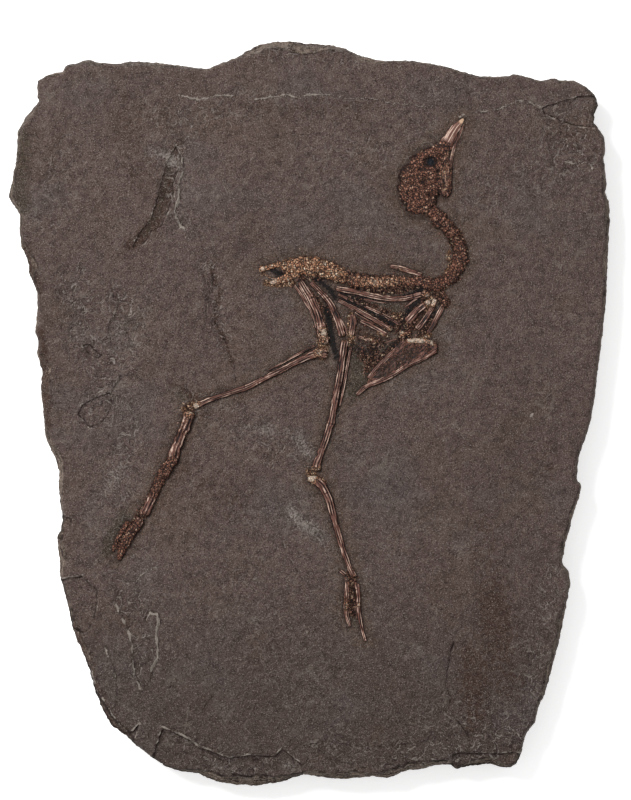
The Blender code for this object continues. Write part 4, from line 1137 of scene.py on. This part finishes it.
# Where the bone is tan or cream and lumpy: x, y, radius, strength.
paleSpots = [
    (162, 166, 3.5, 1.0), (161, 172, 3.5, 0.7), (159, 177, 3.2, 0.8), (95, 205, 4.5, 0.9),
    (98, 202.5, 3, 0.7), (158, 236, 5, 0.8), (155, 239.6, 3, 0.8), (173.5, 302, 1.6, 1.0),
    (179.2, 302.5, 1.5, 1.0), (173, 305, 1.3, 0.7), (196, 165, 3, 0.9), (201, 166, 3, 0.9),
    (217, 150, 3.5, 1.0), (214, 151, 3, 0.8), (210, 170, 3.5, 1.1), (216, 171.5, 3, 0.9),
    (205, 170, 2.5, 1.0), (172.4, 169, 3, 0.8), (131.2, 134.4, 2.5, 1.0), (135, 133.6, 2, 0.6),
    (145, 134, 4, 0.6), (176, 290, 3, 0.5), (73, 257, 3, 0.4), (231.6, 59.5, 4, 0.9), (169, 146, 3, 0.5),
    (213, 147, 2.5, 0.5), (222, 149, 3, 0.3), (172, 138, 4, 0.7), (180, 140.6, 5, 0.65),
    (188, 141, 5, 0.65), (196, 140.6, 5, 0.65), (204, 140.4, 4, 0.5), (222.5, 94, 4, 0.6),
    (222, 86, 4, 0.6), (133, 140.5, 3, 0.9), (224, 77, 3.5, 0.6), (137, 140.6, 3, 0.8),
    (142, 139, 3, 0.7), (64, 268, 3.5, 0.55), (60, 275, 3, 0.55), (200, 134, 5, 0.4), (186, 148, 6, 0.3),
    (200, 149.6, 5, 0.35), (155, 148, 5, 0.35), (129, 190.5, 6, 0.3),
]
rottenSpots = [
    (84, 233, 9, 0.8), (78, 245, 8, 0.7), (66, 265, 7, 1.0), (61, 274, 7, 1.0), (91, 215, 7, 0.5),
    (222, 150, 4, 0.8), (202, 166, 4, 0.9), (174, 298, 5, 0.5), (176, 290, 4, 0.5), (213, 148, 4, 0.5),
    (163, 223, 4, 0.3),
]
sootSpots = [(215.3, 81, 2.4, 1.0), (152, 130.6, 2, 0.5), (166, 141, 3, 0.5), (222, 141, 3, 0.3)]


def traceRun(run, count=300):
    # an evenly stepped smooth curve through the run's stations, and its length
    stations = np.array([run[0], *run, run[-1]], float)
    spans = len(run) - 1
    s = np.linspace(0, spans, spans * 24 + 1)
    i = np.minimum(s.astype(int), spans - 1)
    t = (s - i)[:, None]
    a, b, c, d = stations[i], stations[i + 1], stations[i + 2], stations[i + 3]
    curve = 2 * b + (c - a) * t + (2 * a - 5 * b + 4 * c - d) * t ** 2
    curve = 0.5 * (curve + (3 * b - a - 3 * c + d) * t ** 3)
    steps = np.hypot(*np.diff(curve[:, :2], axis=0).T)
    lengths = np.concatenate([[0], np.cumsum(steps)])
    even = np.linspace(0, lengths[-1], count)
    return np.stack([np.interp(even, lengths, curve[:, k]) for k in range(3)], axis=1), lengths[-1]


def spotsOver(points, spots):
    total = np.zeros(len(points))
    for x, y, radius, strength in spots:
        total += strength * np.exp(-((points[:, 0] - x) ** 2 + (points[:, 1] - y) ** 2) / radius ** 2)
    return np.clip(total, 0, 1)


def layBone(bm, run, around, flatness, relief, seed):
    # bends a sphere along the run, as a flattened shaft with rounded ends that sits in the shale
    path, length = traceRun(run)
    startEnd = boneLook["end"] * path[0, 2]
    farEnd = boneLook["end"] * path[-1, 2]
    rings = max(10, round((length + startEnd + farEnd) / boneLook["pace"]))
    made = bmesh.ops.create_uvsphere(bm, u_segments=around, v_segments=rings, radius=1.0)["verts"]
    ball = np.array([v.co for v in made])
    share = np.arccos(np.clip(ball[:, 2], -1, 1)) / math.pi
    angle = np.arctan2(ball[:, 1], ball[:, 0])
    along = share * (length + startEnd + farEnd) - startEnd
    inside = np.clip(along, 0, length)
    even = np.linspace(0, length, len(path))
    x, y, width = (np.interp(inside, even, path[:, k]) for k in range(3))
    wayX, wayY = (np.interp(inside, even, np.gradient(path[:, k], even)) for k in range(2))
    way = np.maximum(np.hypot(wayX, wayY), 1e-6)
    wayX, wayY = wayX / way, wayY / way
    beyond = along - inside
    u = np.cos(angle)
    up = np.sin(angle)
    # each side of the bone wanders by itself
    wander = noiseAt(np.stack([along, np.sign(u) * 9], axis=1), 2.8, seed)
    width = width * (1 + boneLook["ragged"] * wander)
    taper = np.where(beyond < 0, -beyond / startEnd, np.where(beyond > 0, beyond / farEnd, 0))
    taper = np.sqrt(np.clip(1 - taper ** 2, 0, 1))
    across = u * width * taper
    spot = np.stack([x + wayX * beyond - wayY * across, y + wayY * beyond + wayX * across], axis=1)
    dome = np.clip(up, 0, 1) ** 0.85 * width * flatness * taper
    lift, ridgeShading, rotten = relief({"spot": spot, "u": u, "along": along, "width": width, "seed": seed})
    raised = dome + lift * np.clip(up, 0, 1) ** 0.5 * taper
    sunk = -boneLook["sink"] * np.abs(up) ** 0.5 * taper ** 0.5
    z = np.maximum(np.where(up > 0, raised, sunk), -boneLook["sink"])
    for v, (px, py), pz in zip(made, spot, z):
        v.co = (px, py, pz)
    # painted light and shade: high for a highlight on crests, low for shade in grooves, pits, breaks and
    # along the edges
    writeLayer(bm, made, "ridgeShading", np.clip(ridgeShading, 0, 1))
    writeLayer(bm, made, "rotten", rotten)
    writeLayer(bm, made, "pale", spotsOver(spot, paleSpots))
    writeLayer(bm, made, "soot", spotsOver(spot, sootSpots))
    writeLayer(bm, made, "fibre", np.stack([across, along, np.full(len(along), seed)], axis=1))


def streaksAt(b, size, seed, squeeze, stretch):
    # noise in streaks along a bone
    return noiseAt(np.stack([b["u"] * b["width"] * squeeze, b["along"] * stretch], axis=1), size, seed)


def blotchesAt(b, size, seed, squeeze):
    # noise in blotches that reach across a bone
    return noiseAt(np.stack([b["along"], b["u"] * squeeze], axis=1), size, seed)


shaftLook = {
    "thick": 1.1,  # half width from which a shaft has one ridge more, mm
    "ridges": 2,  # across a thin shaft
    "ridgeHeight": 0.18, "strandHeight": 0.24, "blotchHeight": 0.08,  # as shares of its half width
    "breakDepth": 1.1,
    "lumpSize": 1.3, "lumpHeight": 0.5,  # of its rotten places, mm
}


def shaftRelief(b):
    # a crushed hollow shaft: ridges with grooves between them, and a few breaks across
    fine = streaksAt(b, 0.62, b["seed"], 1.6, 0.08)
    drift = 0.16 * blotchesAt(b, 12.0, b["seed"] + 5, 0)
    count = shaftLook["ridges"] + (np.mean(b["width"]) >= shaftLook["thick"])
    wave = -np.cos(math.pi * count * (b["u"] + 1 + drift))
    wave = 2 * ((1 + wave) / 2) ** 1.5 - 1
    breaks = np.clip(blotchesAt(b, 1.4, b["seed"] + 9, 0.6) - 0.38, 0, 1)
    blotch = blotchesAt(b, 3.6, b["seed"] + 13, 0.8)
    rotten = spotsOver(b["spot"], paleSpots + rottenSpots)
    lumps = grainsAt(b["spot"], shaftLook["lumpSize"], b["seed"]) * rotten
    lift = shaftLook["ridgeHeight"] * wave + shaftLook["strandHeight"] * fine
    lift = b["width"] * (lift + shaftLook["blotchHeight"] * blotch) * (1 - 0.6 * rotten)
    lift = lift - shaftLook["breakDepth"] * breaks + shaftLook["lumpHeight"] * lumps
    # painted highlight on the crests and strands, painted shade in the grooves, breaks and along the edges
    ridgeShading = 0.42 + 0.3 * wave + 0.8 * fine + 0.2 * blotch - 1.7 * breaks + 0.5 * lumps
    ridgeShading -= 0.5 * smoothstep(0.8, 1.0, np.abs(b["u"]))
    return lift, ridgeShading, rotten


granularLook = {"grainSize": 1.6, "lumpSize": 3.2, "lumpHeight": 0.35}  # mm


def granularRelief(b, size=1.0, height=0.45):
    # rotten, granular bone
    grains = grainsAt(b["spot"], granularLook["grainSize"] * size, b["seed"])
    lumps = noiseAt(b["spot"], granularLook["lumpSize"], b["seed"] + 2)
    lift = height * (grains - 0.4) + granularLook["lumpHeight"] * lumps
    # painted highlight on grains and lumps, painted shade along the edges
    ridgeShading = 0.25 + 0.7 * grains + 0.35 * lumps - 0.4 * smoothstep(0.75, 1.0, np.abs(b["u"]))
    return lift, ridgeShading, np.ones(len(grains))


skullLook = {
    "bill": (33, 39),  # mm along the skull where its granules give way to the bill's streaks
    "orbit": (215.0, 81.0),  # the middle of the eye's hollow on the drawing
    "orbitSize": (3.6, 2.6),  # half its length and height, mm
    "orbitTurn": 12,  # degrees
    "brow": (82, 78),  # the brow shows above these places on the drawing
}


def skullRelief(b):
    lift, ridgeShading, rotten = granularRelief(b, 1.0, 0.5)
    streaks = streaksAt(b, 0.9, 4, 1.5, 0.1)
    bill = smoothstep(*skullLook["bill"], b["along"])
    pits = smoothstep(0.2, 0.6, noiseAt(b["spot"], 2.2, 23))
    lift += 0.4 * noiseAt(b["spot"], 4.5, 24) - 0.6 * pits
    # the pits are painted in shade
    ridgeShading -= 0.5 * pits
    lift = lift * (1 - 0.85 * bill) + bill * 0.25 * streaks
    ridgeShading = ridgeShading * (1 - bill) + bill * (0.6 + 0.6 * streaks)
    turn = math.radians(skullLook["orbitTurn"])
    x, y = (b["spot"] - skullLook["orbit"]).T
    ax = x * math.cos(turn) - y * math.sin(turn)
    ay = x * math.sin(turn) + y * math.cos(turn)
    orbit = np.hypot(ax / skullLook["orbitSize"][0], ay / skullLook["orbitSize"][1])
    # the eye's hollow is painted darker as shade, and the brow above it lighter as a highlight
    lift -= 1.3 * smoothstep(1.15, 0.5, orbit)
    ridgeShading -= 1.2 * smoothstep(1.2, 0.8, orbit)
    brow = bell(orbit - 1.45, 0.25) * smoothstep(*skullLook["brow"], b["spot"][:, 1])
    lift += 0.4 * brow
    ridgeShading += 0.6 * brow
    return lift, ridgeShading, rotten - 0.8 * bill


def cheekRelief(b):
    # the side of the face, striated along its length and granular in places
    lift, ridgeShading, _ = granularRelief(b, 0.9, 0.35)
    streaks = streaksAt(b, 0.8, 14, 1.5, 0.14)
    patch = 0.5 + 0.7 * noiseAt(b["spot"], 3.4, 4)
    return 0.35 * streaks + 0.6 * lift, 0.3 + 0.6 * streaks + 0.3 * (ridgeShading - 0.5), patch


def jawRelief(b):
    # striated towards the tip of the bill and rotten towards the joint
    lift, ridgeShading, rotten = shaftRelief(b)
    joint = smoothstep(76, 88, b["spot"][:, 1])
    grains = grainsAt(b["spot"], 1.4, 25)
    lift = lift * (1 - 0.6 * joint) + 0.4 * joint * grains
    return lift, ridgeShading - 0.12 * joint, np.maximum(rotten, 0.75 * joint)


def pelvisRelief(b):
    lift, ridgeShading, rotten = granularRelief(b, 1.1, 0.8)
    pits = smoothstep(0.25, 0.6, noiseAt(b["spot"], 1.7, 21))
    # its pits are painted in shade
    return lift - 0.8 * pits, ridgeShading - 0.9 * pits, rotten


def buildShaft(name, run, slot, seed, relief=shaftRelief, flatness=None, around=28, extras=()):
    # one bone and what lies on it: an extra is a run, its relief, the vertices around it and its flatness
    bm = newBoneShape()
    if max(width for _, _, width in run) <= boneLook["thin"]:
        around = boneLook["thinAround"]
    layBone(bm, run, around, flatness or boneLook["flatness"], relief, seed)
    for n, (more, moreRelief, moreAround, moreFlat) in enumerate(extras):
        layBone(bm, more, moreAround, moreFlat, moreRelief, seed + 0.37 * (n + 1))
    addPiece(name + "_surface", bm, slot, name)


chainLook = {
    # a vertebra's stations: place and half width, as shares of the pitch and of the run's half width
    "spool": [(-0.55, 0.75), (-0.3, 1.0), (-0.08, 0.93), (0.1, 0.9), (0.3, 1.03), (0.52, 0.72)],
    "slip": 0.08,  # how far a vertebra is out of its place, as a share of the pitch
    "swell": (0.85, 1.2),  # its half width as a share of the run's
    "twist": 0.12,  # how far it is turned out of the run
    "armReach": (0.9, 1.35),  # how far its side processes reach, as a share of its half width
    "armLean": 0.3,  # how far they lean forwards or back
}


def buildChain(prefix, run, count, fill, digits, slot):
    # separate vertebrae evenly spaced along a run
    path, length = traceRun(run, 400)
    pitch = length / (count - 1)
    even = np.linspace(0, length, len(path))
    slip, twist, leanMost = chainLook["slip"], chainLook["twist"], chainLook["armLean"]

    def at(distance):
        distance = min(max(distance, 0.0), length)
        return [float(np.interp(distance, even, path[:, k])) for k in range(3)]

    for n in range(count):
        x, y, width = at(n * pitch + random.uniform(-slip, slip) * pitch)
        width *= random.uniform(*chainLook["swell"])
        ax, ay, _ = at((n + 0.4) * pitch)
        bx, by, _ = at((n - 0.4) * pitch)
        way = math.hypot(ax - bx, ay - by)
        ax, ay = ax + random.uniform(-twist, twist) * way, ay + random.uniform(-twist, twist) * way
        dx, dy = (ax - bx) / way * pitch * fill, (ay - by) / way * pitch * fill
        arms = []
        for hand in (-1, 1):
            reach = hand * width * random.uniform(*chainLook["armReach"]) / pitch
            lean = random.uniform(-leanMost, leanMost)
            tip = (x - dy * reach + dx * lean, y + dx * reach + dy * lean, 0.22 * width)
            arms.append(([(x, y, 0.42 * width), tip], granularRelief, 12, 0.9))
        stations = [(x + dx * step, y + dy * step, width * share) for step, share in chainLook["spool"]]
        name = "%s_%0*d" % (prefix, digits, n + 1)
        buildShaft(name, stations, slot, 30 + n, granularRelief, 0.6, 26, arms)


def buildLaid(name, parts, slot, seed, node=None):
    # several runs in one piece: each with its vertices around it, flatness and relief
    bm = newBoneShape()
    for n, (run, around, flatness, relief) in enumerate(parts):
        layBone(bm, run, around, flatness, relief, seed + n)
    addPiece(name, bm, slot, node)


sternumLook = {
    "cell": 0.55,  # mm
    "edgeStep": 0.25,  # mm
    "wall": [(-0.2, -0.1, 1.0), (0.9, 0.0, 0.6)],  # as the slab's wall
    "wander": 0.05,  # mm
    "slateReach": 3.6,  # how far from its middle the slate shows through, mm
}


def buildSternum():
    edge = []
    for (ax, ay), (bx, by) in zip(sternumPlate, sternumPlate[1:] + sternumPlate[:1]):
        count = max(1, round(math.hypot(bx - ax, by - ay) / sternumLook["edgeStep"]))
        edge += [(ax + (bx - ax) * k / count, ay + (by - ay) * k / count) for k in range(count)]
    bm, _ = sheetInside(edge, sternumLook["cell"], [])
    spots = np.array([v.co.xy for v in bm.verts])
    raiseTo(bm.verts, 0.7 + 0.35 * noiseAt(spots, 2.6, 3) + 0.25 * noiseAt(spots, 1.1, 6))
    growWall(bm, sternumLook["wall"], sternumLook["wander"])
    newBoneShape(bm)
    verts = list(bm.verts)
    spots = np.array([v.co.xy for v in verts])
    fibre = np.stack([spots[:, 1] + spots[:, 0] * 0.8, spots[:, 0], np.full(len(verts), 2.0)], axis=1)
    slate = nearest(spots, segmentsOf([sternumInside]))[0]
    # painted light and shade in patches over the plate
    writeLayer(bm, verts, "ridgeShading", 0.25 + 0.6 * noiseAt(spots, 1.0, 6))
    writeLayer(bm, verts, "rotten", 0.45 + 0.6 * noiseAt(spots, 3.0, 8))
    writeLayer(bm, verts, "pale", 0.5 * spotsOver(spots, paleSpots))
    writeLayer(bm, verts, "slaty", bell(slate, sternumLook["slateReach"]))
    writeLayer(bm, verts, "fibre", fibre)
    for n, run in enumerate(sternumRims):
        layBone(bm, run, 22, 0.8, shaftRelief, 60 + n)
    addPiece("sternum_surface", bm, "bone", "sternum")


def makeBone(name, streakTones, grainTones, paleTones, roughness):
    # shafts are streaked along their length, and rotten bone is packed granules
    material, tree, shader, spot = newMaterial(name, roughness, 0.22)
    grain = useGroup(tree, grainGroup, Vector=spot, Size=0.45, Seed=3.0)
    granules = useGroup(tree, granuleGroup, Vector=spot, Size=1.15)
    fibre = stretched(tree, attributeOf(tree, "fibre", "Vector"), 1.0, 0.07, 3.0)
    streaks = noiseOf(tree, fibre, 0.5, 3, 0.65)
    # painted highlights on the crests and painted shade in the grooves, breaks and along the edges, from the
    # ridge layer and the streaks
    ridgeShading, pale = attributeOf(tree, "ridgeShading"), attributeOf(tree, "pale")
    grooveShade, body, crestHighlight = streakTones
    crestShading = plus(tree, ridgeShading, times(tree, minus(tree, streaks, 0.5), 1.5))
    color = mixColor(tree, fadeOf(tree, crestShading, 0.1, 0.45), grooveShade, body)
    color = mixColor(tree, fadeOf(tree, crestShading, 0.55, 0.95), color, crestHighlight)
    swing = times(tree, swingOf(tree, spot, 1.4, 3, 0.7, 2.0), 1.2)
    paleness = fadeOf(tree, plus(tree, pale, swing), 0.4, 0.9)
    color = mixColor(tree, times(tree, paleness, 0.7), color, paleTones[3])

    # rotten bone
    rotten = granuleColor(tree, granules, *grainTones)
    rotten = mixColor(tree, paleness, rotten, granuleColor(tree, granules, *paleTones))
    creamy = fadeOf(tree, plus(tree, pale, times(tree, swing, 0.6)), 0.75, 1.1)
    rotten = mixColor(tree, times(tree, creamy, 0.65), rotten, paleTones[4])
    # painted shade where rotten bone lies low and along its edges
    rotten = mixColor(tree, fadeOf(tree, ridgeShading, 0.3, 0.0, 0.0, 0.85), rotten, grainTones[0])
    swing = swingOf(tree, spot, 1.6, 3, 0.7, 5.0)
    rottenness = fadeOf(tree, plus(tree, attributeOf(tree, "rotten"), swing), 0.35, 0.65)
    color = mixColor(tree, rottenness, color, rotten)

    # slate that shows through, dark grains and the black film
    slaty = fadeOf(tree, plus(tree, attributeOf(tree, "slaty"), swing), 0.35, 0.75)
    color = mixColor(tree, times(tree, slaty, 0.55), color, tint(50, 38, 32))
    color = mixColor(tree, times(tree, grain["Dark"], 0.55), color, grooveShade)
    color = mixColor(tree, fadeOf(tree, attributeOf(tree, "soot"), 0.3, 0.8), color, tint(30, 32, 38))
    setSurface(tree, shader, color, sumOf(tree, [
        (times(tree, streaks, minus(tree, 1.0, rottenness)), 0.35),
        (times(tree, granules["Height"], rottenness), 0.55),
        (grain["Height"], 0.05),
    ]))
    return material


grainLook = {
    "crust": 0.5,  # granules for each square mm along the middle of a crust
    "crustSpread": 0.75,  # how far they scatter, as a share of the crust's half width
    "crustRadius": (0.2, 0.5),  # mm
    "chips": 1.8,  # chips for each mm of a chalky crack
    "chalky": 0.4,  # how chalky a crack is that has chips
    "chipSpread": (-0.3, 0.45),  # how far from the crack they lie, and how far they scatter, mm
    "chipRadius": (0.12, 0.32),  # mm
    "squash": (0.6, 1.6),  # a granule's sizes as a share of its radius
}


def stepsAlong(run, density):
    # a random place on the run for each granule, and the way across the run there
    for (ax, ay), (bx, by) in zip(run, run[1:]):
        length = math.hypot(bx - ax, by - ay)
        for _ in range(round(length * density)):
            t = random.random()
            yield ax + (bx - ax) * t, ay + (by - ay) * t, -(by - ay) / length, (bx - ax) / length


def addGrains(name, found, layers, heightAt, bm, slot):
    # found lists x, y and radius, and then a value for each of the layers
    layers = [bm.verts.layers.float.get(layer) or bm.verts.layers.float.new(layer) for layer in layers]
    levels = heightAt(np.array([grain[:2] for grain in found]))
    for (x, y, radius, *values), level in zip(found, levels):
        size = Vector([radius * random.uniform(*grainLook["squash"]) for _ in range(3)])
        turn = Euler([random.uniform(0, math.tau) for _ in range(3)])
        matrix = Matrix.LocRotScale(Vector((x, y, level + 0.15 * radius)), turn, size)
        for v in bmesh.ops.create_icosphere(bm, subdivisions=1, radius=1.0, matrix=matrix)["verts"]:
            for layer, value in zip(layers, values):
                v[layer] = value
    addPiece(name, bm, slot)
    print(name + ":", len(found))


def scatterGrains(heightAt):
    # loose granules on the crusts
    found = []
    for kind, strokes in crusts.items():
        for strength, width, run in strokes:
            for x, y, acrossX, acrossY in stepsAlong(run, width * strength * grainLook["crust"]):
                side = random.gauss(0, grainLook["crustSpread"]) * width
                pale = random.uniform(0.2, 1.0) if kind == "tan" else random.uniform(-0.6, 0.3)
                # how much painted highlight a loose granule takes
                radius, crestHighlight = random.uniform(*grainLook["crustRadius"]), random.uniform(0.0, 0.7)
                found.append((x + acrossX * side, y + acrossY * side, radius, crestHighlight, pale))
    addGrains("looseGrains", found, ["ridgeShading", "pale"], heightAt, newBoneShape(), "bone")


def scatterChips(heightAt):
    # pale chips along the chalky cracks
    found = []
    for _, _, pale, run in [crack for crack in cracks if crack[2] > grainLook["chalky"]]:
        for x, y, acrossX, acrossY in stepsAlong(run, pale * grainLook["chips"]):
            side = random.gauss(*grainLook["chipSpread"])
            radius = random.uniform(*grainLook["chipRadius"])
            found.append((x + acrossX * side, y + acrossY * side, radius, 1.0))
    addGrains("chalkyChips", found, ["chalk"], heightAt, bmesh.new(), "shale")


# Building the object

umberTones = tints((26, 14, 12), (90, 56, 44), (138, 91, 73), (174, 126, 104), (212, 178, 154))
tanTones = tints((48, 27, 19), (160, 107, 78), (206, 152, 118), (236, 198, 164), (250, 232, 212))
# streaked bone: painted shade for the grooves, the bone's own tone, and painted highlight for the crests
darkStreaks = tints((24, 13, 12), (112, 75, 64), (222, 192, 174))
paleStreaks = tints((50, 30, 24), (130, 86, 62), (220, 190, 160))
materials = {
    "bone": makeBone("fossilBone", darkStreaks, umberTones, tanTones, 0.5),
    "pale_bone": makeBone("paleBone", paleStreaks, tanTones, tanTones, 0.55),
    "shale": makeShale(),
}

allRuns = [*shafts.values(), *sternumRims]
allRuns += [skullRun, jawRun, neckRun, backRun, tailRun, pelvisRun, ischiumRun]
heightAt = buildSlab(allRuns)
scatterGrains(heightAt)
scatterChips(heightAt)

for n, (name, run) in enumerate(shafts.items()):
    buildShaft(name, run, "bone", n + 1.0)
buildShaft("skull", skullRun, "bone", 41, skullRelief, 0.28, 110, [(cheekRun, cheekRelief, 48, 0.3)])
buildShaft("lower_jaw", jawRun, "bone", 42, jawRelief, 0.45)
buildChain("neck_vertebra", neckRun, 12, 0.9, 2, "bone")
buildChain("back_vertebra", backRun, 7, 0.95, 1, "bone")
buildLaid("bone_splinters", [(run, 14, 0.8, shaftRelief) for run in splinters], "bone", 70)
buildChain("tail_vertebra", tailRun, 4, 0.85, 1, "pale_bone")
pelvisParts = [(pelvisRun, 64, 0.5, pelvisRelief), (ischiumRun, 30, 0.6, granularRelief)]
buildLaid("pelvis_surface", pelvisParts, "pale_bone", 50, "pelvis")
buildSternum()
print("bones: done")

# Floor, light and camera

studio = {
    "cameraHeight": 2.2,  # m above the slab's face
    "viewWide": 0.4,  # m of the face along the picture's long side
    "lookAt": (157.75, 200.0),  # the picture's middle on the drawing
    "clipEnd": 20,  # m
    "floorSize": 6.0,  # m
    "floorDrop": 0.2,  # mm between the slab's back and the floor
    "floorTone": (0.92, 0.92, 0.92, 1),
    "floorGlow": 0.5,  # takes the slab's shadow off the floor, as in the photograph
    "keyPlace": (-1.1, 1.0, 1.5),
    "keySize": 0.8,
    "keyPower": 44.0,
    "fill": 0.56,  # strength of the even light from all round
}
white = (1, 1, 1, 1)

floorShape = bmesh.new()
bmesh.ops.create_grid(floorShape, x_segments=1, y_segments=1, size=studio["floorSize"] / 2)
bmesh.ops.translate(floorShape, verts=floorShape.verts, vec=(0, 0, slabLow.z - studio["floorDrop"] * mm))
floorMesh = bpy.data.meshes.new("studioFloor")
floorShape.to_mesh(floorMesh)
floorShape.free()
floorPaint = bpy.data.materials.new("palePaper")
floorPaint.use_nodes = True
setInputs(floorPaint.node_tree.nodes["Principled BSDF"], {
    "Base Color": studio["floorTone"], "Roughness": 0.9,
    "Emission Color": white, "Emission Strength": studio["floorGlow"],
})
floorMesh.materials.append(floorPaint)
floor = bpy.data.objects.new("studioFloor", floorMesh)
bpy.context.scene.collection.objects.link(floor)

light = bpy.data.lights.new("keyLight", "AREA")
light.shape = "DISK"
light.size = studio["keySize"]
light.energy = studio["keyPower"]
lamp = bpy.data.objects.new("keyLight", light)
lamp.location = studio["keyPlace"]
lamp.rotation_euler = (-Vector(studio["keyPlace"])).to_track_quat("-Z", "Y").to_euler()
bpy.context.scene.collection.objects.link(lamp)

world = bpy.data.worlds.new("studioWorld")
world.use_nodes = True
setInputs(world.node_tree.nodes["Background"], {"Color": white, "Strength": studio["fill"]})
bpy.context.scene.world = world

camera = bpy.data.objects.new("camera", bpy.data.cameras.new("camera"))
camera.data.lens = camera.data.sensor_width * studio["cameraHeight"] / studio["viewWide"]
camera.location = place(*studio["lookAt"], studio["cameraHeight"] / mm)
camera.data.clip_end = studio["clipEnd"]
bpy.context.scene.collection.objects.link(camera)
bpy.context.scene.camera = camera
bpy.context.scene.view_settings.view_transform = "Standard"

pieces = [p for p in bpy.context.scene.objects if p.type == "MESH" and p != floor]
print("faces:", sum(len(p.data.polygons) for p in pieces))
